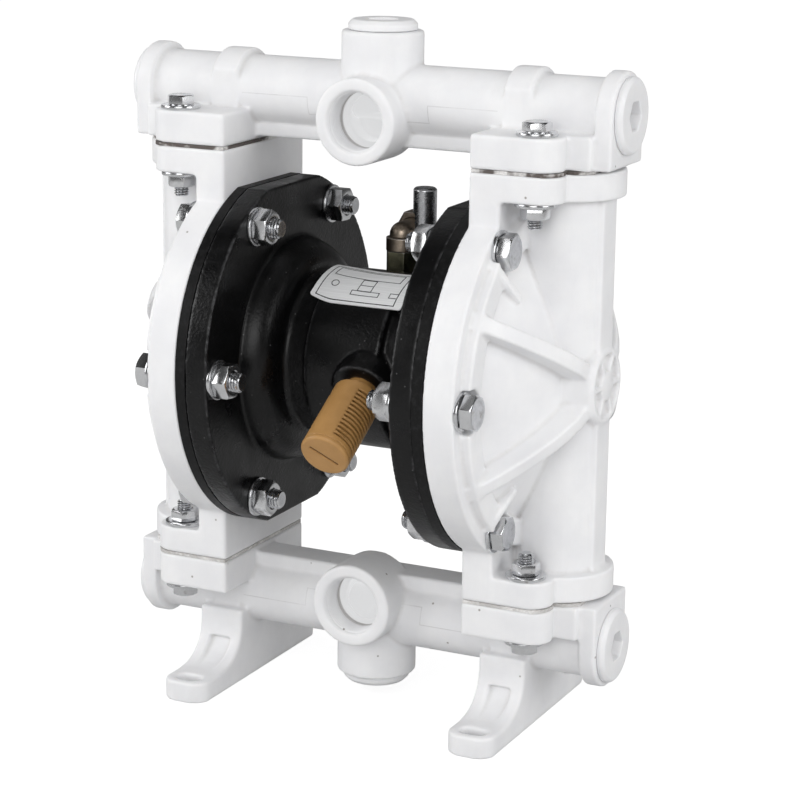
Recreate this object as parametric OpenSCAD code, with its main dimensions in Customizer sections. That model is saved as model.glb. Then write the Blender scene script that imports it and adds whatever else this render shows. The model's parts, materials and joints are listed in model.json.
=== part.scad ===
// Air operated double diaphragm pump, plastic liquid side and cast air side.
// Millimetres. X runs along the pump's axis, -Y is the side with the liquid
// ports, +Z is up. The origin is on the floor, under the middle of the pump.

/* [Clamped discs] */
// Height of the pump's axis above the floor
axis_h = 143; // [141:0.5:148]
// Radius of the clamped discs
disc_r = 72.5; // [71:0.5:76]
// Half height of the flats cut on the discs
flat_h = 69; // [66:0.5:71]
// Distance from the middle to the air side flange
air_face = 39.5; // [38.5:0.5:44]
// Thickness of the air side flange
air_t = 9.5; // [8:0.5:12]
// Thickness of the diaphragm's clamped rim
rim_t = 4.3; // [3.5:0.1:5]
// Thickness of the liquid chamber's rim
cover_t = 13; // [11:0.5:15]
// Distance from the discs' edge to the circle of chamber bolts
bolt_inset = 8.2; // [7.8:0.1:9.5]

/* [Centre body] */
// Radius of the waist of the centre body
waist_r = 36; // [35:0.5:38]
// Half length of the waist
waist_l = 16.5; // [14:0.5:18]
// Depth of the grooves beside the waist
groove_d = 3; // [2:0.5:3]
// Distance from the discs' edge to the foot of the air chambers' domes
dome_inset = 26; // [25:0.5:28]
// Distance from the middle to the floor of the air chamber
air_floor = 25; // [24:0.5:26]
// Distance from the discs' edge to the air and liquid chambers' walls
bowl_inset = 22.5; // [21.5:0.5:25.5]
// Height of the valve bore above the pump's axis
spool_h = 21; // [20:0.5:22]

/* [Liquid chamber] */
// Distance from the rim's inner face to the column's axis
column_off = 27.2; // [27:0.1:28]
// Radius of the ball column
column_r = 17.5; // [17:0.1:18.5]
// Thickness of the chamber's pipe flanges
chamber_flange_t = 10.7; // [9:0.1:12]
// Height from the pump's axis to the face of those flanges
joint_h = 85; // [84:0.5:87]
// Radius of the round outer end of those flanges
flange_end_r = 22.5; // [21:0.5:24]
// Radius of the hub on the chamber's crown
hub_r = 16; // [14:0.5:17]
// Distance that the hub stands out past the column
hub_proud = 1.3; // [0.5:0.1:3]
// Distance from the discs' edge to the crown's foot
crown_inset = 15; // [14.5:0.5:18.5]
// Height of the crown above the rim's outer face at its edge
crown_step = 0.7; // [0.3:0.1:1.5]
// Thickness of the long ribs
rib_t = 6.5; // [5:0.5:7]
// Angle between the long ribs and the front
rib_angle = 30; // [26:1:33]
// Width of the lip outside the crown's foot
lip_w = 9.5; // [8:0.5:10]
// Height of the lip above the rim
lip_h = 4.2; // [3:0.1:4.6]

/* [Manifolds] */
// Thickness of the gaskets in the pipe joints
gasket_t = 1.3; // [0.8:0.1:2]
// Thickness of the manifold's flanges
manifold_flange_t = 13.3; // [12:0.1:14]
// Half width of all pipe flanges
flange_w = 33.8; // [33:0.1:36]
// Distance from the manifold flange's joint face to the tube's axis
tube_off = 19.7; // [19.7:0.1:22]
// Outer radius of the manifold tube
tube_r = 14; // [13.5:0.1:15]
// Bore radius of the manifold tube
tube_bore_r = 8.6; // [7:0.1:8.9]
// Distance from the middle to the manifold's end faces
end_face = 104; // [103:0.5:108]
// Thickness of the end flanges
end_t = 7; // [5:0.5:9]
// Radius of the end flanges
end_r = 17; // [16:0.5:18]
// Outer radius of the liquid port bosses
port_r = 17.2; // [16:0.1:18]
// Distance that the liquid port bosses stand out
port_out = 25; // [22:0.5:30]
// Distance between the tube's axis and the port's axis
port_drop = 7; // [5:0.5:8]
// Tapping radius of the liquid ports
port_tap_r = 12.05; // [11.5:0.05:13]
// Depth of the liquid ports' thread
port_tap_l = 15; // [12:0.5:16]
// Radius of the upright boss with the spare port
riser_r = 16.4; // [15.5:0.1:17]
// Height of the upright boss past the tube's axis
riser_h = 27; // [25:0.5:29]

/* [Feet] */
// Width of the feet
foot_w = 20; // [18:0.5:22]
// Distance from the middle to the feet's inner side
foot_x = 54.7; // [54:0.1:57]
// Thickness of the foot pads
pad_t = 8.8; // [6:0.1:10]
// Distance from the middle to the front of the pads
pad_y = 51.8; // [50:0.1:56]
// Distance from the middle to the centre of the slots
slot_y = 44.3; // [42:0.1:45]
// Width of the slots
slot_w = 6.6; // [5.5:0.1:7]
// Distance between the centres of a slot's round ends
slot_l = 4.4; // [3:0.1:6]

/* [Moving parts] */
// Stroke of the diaphragm shaft each way
stroke = 8; // [4:0.5:8]
// Radius of the diaphragm shaft
shaft_r = 8; // [7:0.1:8.5]
// Radius of the diaphragm plates
plate_r = 26; // [22:0.5:28]
// Radius of the check balls
ball_r = 9; // [8.8:0.1:9.2]
// Lift of the check balls
ball_lift = 5; // [3:0.5:5]
// Travel of the valve spool each way
spool_travel = 3; // [1:0.5:3]
// Radius of the valve spool's lands
spool_r = 5; // [4:0.1:5.5]
// Radius of the pilot pin
pin_r = 2.5; // [2:0.1:3]

/* [Fasteners] */
// Shank radius of the manifold bolts
small_r = 3; // [2.5:0.5:3]
// Width across flats of the manifold bolts
small_af = 10; // [9:0.5:10.5]
// Radius of the manifold bolts' washers
small_washer_r = 8; // [7:0.1:8.2]
// Shank radius of the chamber bolts
large_r = 4; // [3:0.5:4]
// Width across flats of the chamber bolts
large_af = 13; // [11:0.5:13]
// Radius of the chamber bolts' washers
large_washer_r = 8; // [7:0.1:8]
// Thickness of all washers
washer_t = 1.5; // [1:0.1:2]

/* [Air line] */
// Radius of the exhaust boss
exhaust_boss_r = 12.5; // [11:0.5:13.5]
// Angle of the exhaust boss below the horizontal
exhaust_drop = 31; // [25:1:35]
// Distance from the exhaust's start to the face of its boss
exhaust_face = 42.1; // [41:0.1:46]
// Radius of the muffler
muffler_r = 10; // [8:0.5:11]
// Length of the muffler
muffler_l = 33; // [25:0.5:33]
// Distance from the middle to the air inlet, towards the rear
inlet_y = 20; // [18:0.5:21]
// Radius of the lever's rod
lever_r = 4.85; // [4:0.05:5.2]
// Length of the lever above its pivot
lever_up = 20.2; // [15:0.1:26]

/* [Hidden] */
$fn = 96;

// A cut that goes right through a face runs this far past it
cut = 1;
// Radial gap of a running fit, of a fixed fit and of a bolt in its hole
run_gap = 0.05;
fix_gap = 0.05;
bolt_gap = 0.4;
// Gap between a ball and its seat, and round a ball in its cage
ball_gap = 0.3;
cage_gap = 1.2;
// Gap that keeps a moving piece off its stop
stop_gap = 0.5;

// Circles that follow the discs' edge
bolt_ring_r = disc_r - bolt_inset;
dome_r = disc_r - dome_inset;
bowl_r = disc_r - bowl_inset;
crown_r = disc_r - crown_inset;

// Planes along the pump's axis, as distances from the middle
air_out = air_face + air_t;
cover_in = air_out + rim_t;
cover_out = cover_in + cover_t;
column_x = cover_in + column_off;
hub_face = column_x + column_r + hub_proud;

// Heights from the pump's axis
chamber_flange_h = joint_h - chamber_flange_t;
manifold_joint_h = joint_h + gasket_t;
manifold_far_h = manifold_joint_h + manifold_flange_t;
tube_h = manifold_joint_h + tube_off;
port_h = tube_h - port_drop;
riser_top = tube_h + riser_h;

// Pipe joint bolts, ears and seat rings
bolt_x = column_x - 3;
ear_r = 9;
ear_x = bolt_x + 2;
bolt_y = 25.6;
ear_y = flange_w - ear_r;
recess_y = 20;
gasket_inset = 0.6;
seat_r = 13;
seat_hole_r = 5.5;
seat_chamfer = 2.5;
seat_sink = 1.4;
seat_t = gasket_t + 2 * seat_sink;
cage_r = ball_r + cage_gap;
// Height of a ball's middle above its seat's upper face, on a 45 degree cone
ball_up = ball_r * (cos(45) + sin(45)) - seat_hole_r - seat_chamfer + ball_gap / cos(45);
// Height above the seat that a lifted ball never passes
ball_reach = ball_up + ball_r + ball_lift + stop_gap;
seat_top_h = joint_h + gasket_t / 2 + seat_t / 2;
suction_seat_top = -joint_h - gasket_t / 2 + seat_t / 2;
stop_w = 3;
stop_in = 5;

// Manifold details
collar_x = cover_in + 5.1;
collar_l = 11.2;
collar_w = 14.1;
collar_r = 16.6;
rail_h = manifold_joint_h + 1.7;
rail_t = 5;
rail_w = 8;
plug_r = 10;
plug_l = 9;
plug_head_r = 15;
spare_head_r = 13.8;
plug_head_t = 3.1;
socket_af = 11;
socket_d = 5.5;
riser_bore_r = 9.4;
spare_head_t = 4.2;
spare_l = 12;

// Legs and pads of the feet
leg_run = 18;
leg_rise = 15;
leg_below = 6;
leg_front = 15.5;
leg_y = pad_y - leg_front - leg_run;
leg_top = axis_h - tube_h - leg_below;
channel_w = 10;
channel_d = 3;
channel_turn = 70;
pad_round = 7;

// Crown of the liquid chamber
crown_x = cover_out + crown_step;
crown_rise = 19.5;
crown_top_r = hub_r;
crown_power = 1.5;
bowl_step = 6.7;
bowl_depth = 22;
bowl_floor_r = 20;
pocket_n = 6;
pocket_in = 6;
pocket_out = 12.6;
pocket_d = 2.4;
pocket_spoke = 2.2;
hub_nub = 0.5;
hub_edge = 1.5;
strip_w = 14;
strip_proud = 0.3;
lip_in = 1.2;
rib_root = 1;
rib_past = 0.8;
rib_end_h = 0.5;
rib_below_hub = 2;
rib_below_lip = 0.6;
short_rib_angle = 50.5;
short_rib_t = 3;
short_rib_in = 9;
short_rib_past = 0.8;
short_rib_h = 9.2;
spot_gap = 0.6;
spot_sink = 0.3;
bolt_angles = [for (i = [0:5]) 60 * i];

// Waist, grooves and domes of the centre body
waist_edge = 0.8;
neck_r = waist_r - groove_d;
groove_round = 2;
dome_wall = 2;
dome_x = air_floor + dome_wall;
dome_in = neck_r + groove_round;

// Centre body bores
bush_r = shaft_r + 3;
bush_t = 12;
seal_t = 3;
bush_out = air_floor - seal_t;
sleeve_r = spool_r + 3;
sleeve_l = 20;
cap_t = 4;
spool_l = sleeve_l - spool_travel - stop_gap;
pin_y = 18;
pin_h = -8;
plate_in_t = 6;
plate_out_t = 6.5;
stud_r = 6;
pin_l = air_out - plate_in_t - stroke - stop_gap;
airway_r = 2;
airway_y = -9;
airway_h = spool_h + 7;
airway_x = 12;
web_bulge = 3.5;
web_steps = 8;
air_floor_band = 9;
air_knee_band = 17;
air_floor_r = bush_r + air_floor_band;
air_knee_r = bush_r + air_knee_band;
air_knee_rise = 2;
air_wall_in = 8;
air_wall_h = 4;
spool_neck = 1.8;

// Exhaust and muffler, measured along the exhaust's own line
exhaust_x = 10;
exhaust_h = 17;
exhaust_bore_r = 4.5;
muffler_neck_r = 6.5;
muffler_neck_l = 4;
muffler_in = 7;
neck_gap = 0.15;
muffler_cap_t = 2.2;
muffler_wall = 2;
muffler_slots = 13;
muffler_slot_w = 1;
muffler_slot_pitch = 2;
muffler_slot_from = 3.5;
muffler_slot_half = 55;
muffler_slot_turn = 10;
cap_slot = [13, 1.2, 1.8];
cap_slot_turn = -38;

// Air inlet valve
inlet_pad_r = 9;
inlet_pad_h = 31;
nipple_af = 12.5;
nipple_l = 10.4;
nipple_r = 5;
nipple_in = 8;
nipple_spot = 0.8;
air_bore_r = 2.2;
collar_ring_r = 6.7;
collar_ring_l = 5.6;
valve_leg_r = 5.3;
valve_h = inlet_pad_h + nipple_l + collar_ring_l + 1;
valve_ball_r = 3.6;
valve_port_y = 10;
valve_port_l = 8;
valve_port_af = 15;
valve_tap_r = 5.75;
stem_r = 1.8;
gland_r = 3;
gland_x = 6.8;
lever_x = 10;
lever_flat_x = 7.2;
lever_down = 5.5;
lever_flat_up = 9.5;
lever_chamfer = 0.8;
screw_r = 1.4;
screw_head_r = 2.9;
screw_head_t = 2;
lever_spot_x = lever_x + 3.6;
valve_way_r = air_bore_r - 0.4;

// Nameplate
plate_half = 21;
plate_low_angle = 47;
plate_high_angle = 90;
plate_t = 0.5;
glue_t = 0.1;

// Fastener details
head_share = 0.66;
nut_share = 0.8;
thread_out = 3.9;
washer_hole_gap = 0.3;

// Repeats and frames

module at_axis() {
    translate([0, 0, axis_h]) children();
}

module mirrored_x(side) {
    mirror([side < 0 ? 1 : 0, 0, 0]) children();
}

module mirrored_z(way) {
    mirror([0, 0, way < 0 ? 1 : 0]) children();
}

// A cylinder along X between two distances
module disc_x(r, x0, x1) {
    translate([x0, 0, 0]) rotate([0, 90, 0]) cylinder(r = r, h = x1 - x0);
}

// A cylinder along Y between two distances
module disc_y(r, y0, y1) {
    translate([0, y1, 0]) rotate([90, 0, 0]) cylinder(r = r, h = y1 - y0);
}

// Turns an outline of [radius, distance along X] round the X axis
module turned_x(points) {
    rotate([0, 90, 0]) rotate_extrude() polygon(points);
}

// Places children at an angle round the X axis, measured up from the front
module round_x(angle, r) {
    rotate([-angle, 0, 0]) translate([0, -r, 0]) children();
}

// A flat plate through the X axis, with an outline of [radius, distance along X]
module radial_plate(angle, t, points) {
    rotate([-angle, 0, 0]) translate([0, 0, -t / 2]) linear_extrude(height = t)
        polygon([for (p = points) [p[1], -p[0]]]);
}

module hexagon(af) {
    circle(r = af / 2 / cos(30), $fn = 6);
}

module flat_limits() {
    cube([4 * disc_r, 4 * disc_r, 2 * flat_h], center = true);
}

// Outline of the chamber's pipe flange, with its two bolt ears
module chamber_flange_plan() {
    translate([cover_in, -flange_w]) square([ear_x - cover_in, 2 * flange_w]);
    for (s = [-1, 1]) translate([ear_x, s * ear_y]) circle(r = ear_r);
    translate([column_x, 0]) circle(r = flange_end_r);
}

// Outline of the manifold's flange
module manifold_flange_plan() {
    translate([cover_in, -flange_w]) square([ear_x - cover_in, 2 * flange_w]);
    for (s = [-1, 1]) translate([ear_x, s * ear_y]) circle(r = ear_r);
    translate([cover_in, -recess_y]) square([end_face - end_t - cover_in, 2 * recess_y]);
}

module pipe_bolt_holes(h0, h1) {
    for (s = [-1, 1]) translate([bolt_x, s * bolt_y, h0 - cut])
        cylinder(r = small_r + bolt_gap, h = h1 - h0 + 2 * cut);
}

module chamber_bolt_holes(x0, x1) {
    for (a = bolt_angles) round_x(a, bolt_ring_r)
        disc_x(large_r + bolt_gap, x0 - cut, x1 + cut);
}

// Ribs at the given angles round a ball's cage that stop the ball, from height h0 to h1
module ball_stops(h0, h1, angles) {
    for (a = angles) translate([column_x, 0, h0]) rotate([0, 0, a])
        translate([stop_in, -stop_w / 2, 0]) cube([cage_r - stop_in + cut, stop_w, h1 - h0]);
}

// Liquid side

function crown(r) =
    crown_x + crown_rise * (1 - pow((r - crown_top_r) / (crown_r - crown_top_r), crown_power));

function bowl(r) =
    cover_in + bowl_step
    + bowl_depth * (1 - pow(max(0, r - bowl_floor_r) / (bowl_r - bowl_floor_r), crown_power));

module crown_outline() {
    turned_x(concat(
        [[0, cover_in], [crown_r, cover_in]],
        [for (i = [0:10]) let (r = crown_r + (crown_top_r - crown_r) * i / 10) [r, crown(r)]],
        [[0, crown(crown_top_r)]]
    ));
}

module bowl_cavity() {
    turned_x(concat(
        [[0, cover_in - cut], [bowl_r, cover_in - cut]],
        [for (i = [0:10]) let (r = bowl_r + (bowl_floor_r - bowl_r) * i / 10) [r, bowl(r)]],
        [[0, bowl(bowl_floor_r)]]
    ));
}

module long_rib(angle) {
    outer = crown_r + lip_w;
    inner = hub_r - 3 * rib_root;
    tip = cover_out + lip_h - rib_below_lip;
    crest = hub_face - rib_below_hub;
    radial_plate(angle, rib_t, concat(
        [[outer + rib_past, cover_out - rib_root], [outer + rib_past, cover_out + rib_end_h]],
        [for (i = [0:8]) let (k = i / 8, r = outer + (hub_r - outer) * k)
            [r, tip + (crest - tip) * (1 - pow(1 - k, crown_power))]],
        [[inner, crest], [inner, crown_x]],
        [for (i = [0:8]) let (r = crown_top_r + (crown_r - crown_top_r) * i / 8)
            [r, crown(r) - rib_root]],
        [[outer, cover_out - rib_root]]
    ));
}

module short_rib(angle) {
    inner = crown_r - short_rib_in;
    outer = crown_r + lip_w;
    radial_plate(angle, short_rib_t, [
        [inner, crown_x], [outer + short_rib_past, cover_out - rib_root],
        [outer + short_rib_past, cover_out + rib_root], [outer, cover_out + lip_h - rib_below_lip],
        [inner, cover_out + short_rib_h]
    ]);
}

module hub() {
    turned_x([
        [0, crown_x], [hub_r, crown_x], [hub_r, hub_face - hub_edge],
        [hub_r - hub_edge, hub_face], [pocket_in - hub_edge, hub_face],
        [pocket_in / 2, hub_face + hub_nub], [0, hub_face + hub_nub]
    ]);
}

module hub_pockets() {
    translate([hub_face - pocket_d, 0, 0]) rotate([0, 90, 0])
        linear_extrude(height = pocket_d + cut) difference() {
            circle(r = pocket_out);
            circle(r = pocket_in);
            for (i = [0:pocket_n - 1]) rotate(180 / pocket_n + 360 / pocket_n * i)
                translate([0, -pocket_spoke / 2]) square([pocket_out + cut, pocket_spoke]);
        }
}

module liquid_chamber(side) {
    mirrored_x(side) at_axis() difference() {
        union() {
            disc_x(disc_r, cover_in, cover_out);
            crown_outline();
            turned_x([
                [crown_r - lip_in, cover_in], [crown_r + lip_w, cover_in],
                [crown_r + lip_w, cover_out + lip_h], [crown_r - lip_in, cover_out + lip_h]
            ]);
            for (s = [-1, 1], turn = [0, 180]) {
                long_rib(turn + s * rib_angle);
                short_rib(turn + s * short_rib_angle);
            }
            hub();
            translate([column_x, 0, -joint_h]) cylinder(r = column_r, h = 2 * joint_h);
            translate([column_x, -strip_w / 2, -chamber_flange_h - cut])
                cube([column_r + strip_proud, strip_w, 2 * (chamber_flange_h + cut)]);
            for (way = [-1, 1]) mirrored_z(way) {
                translate([0, 0, chamber_flange_h]) linear_extrude(height = chamber_flange_t)
                    chamber_flange_plan();
                translate([cover_in, -flange_w, disc_r / 2])
                    cube([cover_t, 2 * flange_w, chamber_flange_h + cut - disc_r / 2]);
            }
        }
        bowl_cavity();
        hub_pockets();
        difference() {
            translate([column_x, 0, -joint_h - cut])
                cylinder(r = cage_r, h = 2 * (joint_h + cut));
            ball_stops(suction_seat_top + ball_reach, -joint_h / 2, [90, 210, 330]);
        }
        for (way = [-1, 1]) mirrored_z(way) {
            pipe_bolt_holes(chamber_flange_h, joint_h);
            translate([column_x, 0, joint_h - seat_sink])
                cylinder(r = seat_r + fix_gap, h = seat_sink + cut);
        }
        chamber_bolt_holes(cover_in, cover_out);
        for (a = bolt_angles) round_x(a, bolt_ring_r)
            disc_x(large_washer_r + spot_gap, cover_out - spot_sink, hub_face);
    }
}

// Manifold as it lies at the top, seen from the pump's axis
module manifold_solid() {
    for (side = [-1, 1]) mirrored_x(side) {
        translate([0, 0, manifold_joint_h]) linear_extrude(height = manifold_flange_t)
            manifold_flange_plan();
        translate([0, 0, tube_h]) disc_x(end_r, end_face - end_t, end_face);
        translate([end_face - end_t, -end_r, manifold_joint_h])
            cube([end_t, 2 * end_r, tube_off]);
        intersection() {
            union() {
                translate([0, 0, tube_h]) disc_x(collar_r, collar_x, collar_x + collar_l);
                translate([collar_x, -collar_w, manifold_joint_h])
                    cube([collar_l, 2 * collar_w, tube_off]);
            }
            translate([collar_x, -collar_w, manifold_joint_h])
                cube([collar_l, 2 * collar_w, tube_off + collar_r + cut]);
        }
    }
    translate([0, 0, tube_h]) disc_x(tube_r, -end_face + cut, end_face - cut);
    translate([-cover_in - cut, -rail_w, rail_h]) cube([2 * (cover_in + cut), 2 * rail_w, rail_t]);
    translate([0, 0, port_h]) disc_y(port_r, -port_out, 0);
    translate([0, 0, port_h]) cylinder(r = riser_r, h = riser_top - port_h);
}

// Bores of that manifold; the ball's cage is cut only where the ball sits in it
module manifold_bores(with_cage) {
    for (side = [-1, 1]) mirrored_x(side) {
        pipe_bolt_holes(manifold_joint_h, manifold_far_h);
        translate([column_x, 0, manifold_joint_h - cut])
            cylinder(r = seat_r + fix_gap, h = seat_sink + cut);
        translate([0, 0, tube_h]) disc_x(plug_r + fix_gap, end_face - plug_l - cut, end_face + cut);
    }
    difference() {
        union() {
            translate([0, 0, tube_h]) disc_x(tube_bore_r, -end_face, end_face);
            for (side = [-1, 1]) translate([side * column_x, 0, manifold_joint_h - cut]) {
                cylinder(r = with_cage ? cage_r : tube_bore_r, h = tube_off + cut);
                if (with_cage) translate([0, 0, tube_off + cut]) sphere(r = cage_r);
            }
        }
        if (with_cage) for (side = [-1, 1]) mirrored_x(side)
            ball_stops(seat_top_h + ball_reach, riser_top, [90, 270]);
    }
    translate([0, 0, port_h]) {
        disc_y(port_tap_r, -port_out - cut, -port_out + port_tap_l);
        disc_y(riser_bore_r, -port_out, 0);
        cylinder(r = riser_bore_r, h = riser_top - port_h);
    }
    translate([0, 0, riser_top - spare_l - cut])
        cylinder(r = port_tap_r, h = spare_l + 2 * cut);
}

module discharge_manifold() {
    color([0.92, 0.92, 0.93]) at_axis() difference() {
        manifold_solid();
        manifold_bores(true);
    }
}

// A point on the hollow curve from the pad to the leg, as [y, z]
function leg_curve(turn, inward) =
    [leg_y - inward + leg_run * (1 - sin(turn)), pad_t + leg_rise * (1 - cos(turn))];

// Side outline of one half of a foot, as [y, z]
module foot_outline() {
    polygon(concat(
        [[-cut, 0], [leg_y + leg_run, 0]],
        [for (turn = [0:10:90]) leg_curve(turn, 0)],
        [[leg_y, leg_top], [-cut, leg_top]]
    ));
}

// Side outline of the channel in the leg's hollow side
module channel_outline() {
    polygon(concat(
        [[leg_y + leg_run, pad_t], [leg_y + leg_run, leg_top]],
        [leg_curve(channel_turn, 0)],
        [for (turn = [channel_turn:-10:0]) leg_curve(turn, channel_d)]
    ));
}

module foot_pad_plan() {
    for (s = [-1, 1])
        translate([foot_x + foot_w / 2 + s * (foot_w / 2 - pad_round), -pad_y + pad_round])
            circle(r = pad_round);
    translate([foot_x, -pad_y + pad_round]) square([foot_w, pad_y - leg_y - pad_round]);
    translate([foot_x + pad_round, -pad_y]) square([foot_w - 2 * pad_round, pad_round]);
}

module foot() {
    middle = foot_x + foot_w / 2;
    for (s = [0, 1]) mirror([0, s, 0]) difference() {
        union() {
            translate([foot_x, 0, 0]) rotate([90, 0, 90]) linear_extrude(height = foot_w)
                foot_outline();
            mirror([0, 1, 0]) linear_extrude(height = pad_t) foot_pad_plan();
        }
        for (e = [-1, 1]) translate([middle + e * slot_l / 2, slot_y, -cut])
            cylinder(r = slot_w / 2, h = pad_t + 2 * cut);
        translate([middle - slot_l / 2, slot_y - slot_w / 2, -cut])
            cube([slot_l, slot_w, pad_t + 2 * cut]);
        translate([middle - channel_w / 2, 0, 0]) rotate([90, 0, 90])
            linear_extrude(height = channel_w) channel_outline();
    }
}

module suction_manifold() {
    color([0.92, 0.92, 0.93]) difference() {
        union() {
            at_axis() mirrored_z(-1) manifold_solid();
            for (side = [-1, 1]) mirrored_x(side) foot();
        }
        at_axis() mirrored_z(-1) manifold_bores(false);
    }
}

module pipe_gasket(side, way) {
    color([0.55, 0.42, 0.4]) mirrored_x(side) at_axis() mirrored_z(way)
        translate([0, 0, joint_h]) linear_extrude(height = gasket_t) difference() {
            intersection() {
                chamber_flange_plan();
                manifold_flange_plan();
                translate([cover_in + gasket_inset, -flange_w + gasket_inset])
                    square([3 * flange_w, 2 * (flange_w - gasket_inset)]);
            }
            translate([column_x, 0]) circle(r = seat_r + fix_gap);
            for (s = [-1, 1]) translate([bolt_x, s * bolt_y]) circle(r = small_r + bolt_gap);
        }
}

// A seat ring; both suction and discharge seats face up
module ball_seat(side, top) {
    color([0.75, 0.76, 0.78]) mirrored_x(side) at_axis() translate([column_x, 0, top - seat_t])
        rotate_extrude() polygon([
            [seat_hole_r, 0], [seat_r, 0], [seat_r, seat_t],
            [seat_hole_r + seat_chamfer, seat_t], [seat_hole_r, seat_t - seat_chamfer]
        ]);
}

module check_ball(side, top) {
    color([0.15, 0.15, 0.16]) mirrored_x(side) at_axis()
        translate([column_x, 0, top + ball_up]) sphere(r = ball_r);
}

// One face of the diaphragm's flexing web, which bulges towards the air side, from the
// plate out; both of its ends run flat into the plate and the rim
function web_face(x) = concat(
    [[plate_r - cut, x]],
    [for (i = [0:web_steps]) let (k = i / web_steps)
        [plate_r + (bowl_r - cut - plate_r) * k, x - web_bulge * sin(180 * k)]],
    [[bowl_r + cut, x]]
);

function web_outline() = concat(
    web_face(air_out),
    [for (i = [web_steps + 2:-1:0]) web_face(cover_in)[i]]
);

module diaphragm(side) {
    color([0.13, 0.13, 0.14]) mirrored_x(side) at_axis() difference() {
        union() {
            intersection() {
                disc_x(disc_r, air_out, cover_in);
                flat_limits();
            }
            turned_x(web_outline());
        }
        difference() {
            disc_x(bowl_r, air_out - cut, cover_in + cut);
            disc_x(plate_r, air_out - 2 * cut, cover_in + 2 * cut);
            turned_x(web_outline());
        }
        disc_x(stud_r + fix_gap, air_out - cut, cover_in + cut);
        chamber_bolt_holes(air_out, cover_in);
    }
}

module outer_plate(side) {
    edge = 2;
    color([0.88, 0.88, 0.9]) mirrored_x(side) at_axis() difference() {
        turned_x([
            [0, cover_in], [plate_r - edge, cover_in], [plate_r, cover_in + edge],
            [plate_r - edge, cover_in + plate_out_t - edge],
            [plate_r / 2, cover_in + plate_out_t], [0, cover_in + plate_out_t]
        ]);
        disc_x(stud_r + fix_gap, cover_in - cut, cover_in + plate_out_t - 1.5);
    }
}

module inner_plate(side) {
    edge = 2;
    color([0.6, 0.62, 0.64]) mirrored_x(side) at_axis() difference() {
        turned_x([
            [0, air_out - plate_in_t], [plate_r - edge, air_out - plate_in_t],
            [plate_r, air_out - plate_in_t + edge], [plate_r, air_out - edge],
            [plate_r - edge, air_out], [0, air_out]
        ]);
        disc_x(stud_r + fix_gap, air_out - plate_in_t - cut, air_out + cut);
    }
}

module diaphragm_shaft() {
    shoulder = air_out - plate_in_t;
    tip = cover_in + plate_out_t - 2;
    color([0.7, 0.71, 0.73]) at_axis() union() {
        disc_x(shaft_r, -shoulder, shoulder);
        disc_x(stud_r, -tip, tip);
    }
}

// Air side

// Half of the waist, the groove beside it and the dome over the air chamber
module waist_and_dome() {
    turned_x(concat(
        [
            [0, 0], [waist_r, 0], [waist_r, waist_l - waist_edge], [waist_r - waist_edge, waist_l],
            [neck_r, waist_l], [neck_r, dome_x - groove_round],
            [neck_r + groove_round * (1 - cos(45)), dome_x - groove_round * (1 - sin(45))]
        ],
        [for (a = [90:-9:0])
            [dome_in + (dome_r - dome_in) * cos(a), air_face - (air_face - dome_x) * sin(a)]],
        [[dome_r, air_face + cut], [0, air_face + cut]]
    ));
}

module air_cavity() {
    turned_x([
        [0, air_floor], [air_floor_r, air_floor], [air_knee_r, air_floor + air_knee_rise],
        [bowl_r - air_wall_in, air_face + stop_gap], [bowl_r, air_out - air_wall_h],
        [bowl_r, air_out + cut],
        [0, air_out + cut]
    ]);
}

// Places children on the exhaust's line, with +Z pointing out of the body
module on_exhaust() {
    translate([exhaust_x, 0, exhaust_h]) rotate([90 + exhaust_drop, 0, 0]) children();
}

module center_body() {
    color([0.09, 0.09, 0.1]) at_axis() difference() {
        union() {
            for (side = [-1, 1]) mirrored_x(side) {
                waist_and_dome();
                intersection() {
                    disc_x(disc_r, air_face, air_out);
                    flat_limits();
                }
            }
            on_exhaust() cylinder(r = exhaust_boss_r, h = exhaust_face);
            translate([0, inlet_y, 0]) cylinder(r = inlet_pad_r, h = inlet_pad_h);
        }
        for (side = [-1, 1]) mirrored_x(side) {
            air_cavity();
            chamber_bolt_holes(air_face, air_out);
            disc_x(bush_r, bush_out - bush_t, air_floor + cut);
            translate([airway_x, 0, spool_h])
                rotate([atan2(airway_h - spool_h, airway_y) - 90, 0, 0])
                cylinder(r = airway_r, h = norm([airway_y, airway_h - spool_h]));
            translate([0, airway_y, airway_h]) disc_x(airway_r, airway_x - airway_r, air_face);
        }
        disc_x(shaft_r + bolt_gap, -bush_out, bush_out);
        translate([0, 0, spool_h]) disc_x(sleeve_r + fix_gap, -air_face, air_face);
        translate([0, pin_y, pin_h]) disc_x(pin_r + run_gap, -air_face, air_face);
        on_exhaust() {
            cylinder(r = exhaust_bore_r, h = exhaust_face);
            translate([0, 0, exhaust_face - muffler_in - cut])
                cylinder(r = muffler_neck_r + neck_gap, h = muffler_in + muffler_neck_l + cut);
        }
        translate([0, inlet_y, inlet_pad_h])
            cylinder(r = nipple_af / 2 / cos(30) + nipple_spot, h = waist_r);
        translate([0, inlet_y, inlet_pad_h - nipple_in - cut])
            cylinder(r = nipple_r + fix_gap, h = nipple_in + 2 * cut);
        translate([0, inlet_y, spool_h]) cylinder(r = air_bore_r, h = inlet_pad_h - spool_h);
        translate([0, 0, spool_h]) disc_y(air_bore_r, 0, inlet_y);
    }
}

module shaft_bushing(side) {
    color([0.75, 0.6, 0.3]) mirrored_x(side) at_axis() difference() {
        disc_x(bush_r - fix_gap, bush_out - bush_t, bush_out);
        disc_x(shaft_r + run_gap, bush_out - bush_t - cut, bush_out + cut);
    }
}

module shaft_seal(side) {
    color([0.12, 0.12, 0.13]) mirrored_x(side) at_axis() difference() {
        disc_x(bush_r - fix_gap, bush_out, air_floor);
        disc_x(shaft_r + run_gap, bush_out - cut, air_floor + cut);
    }
}

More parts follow.
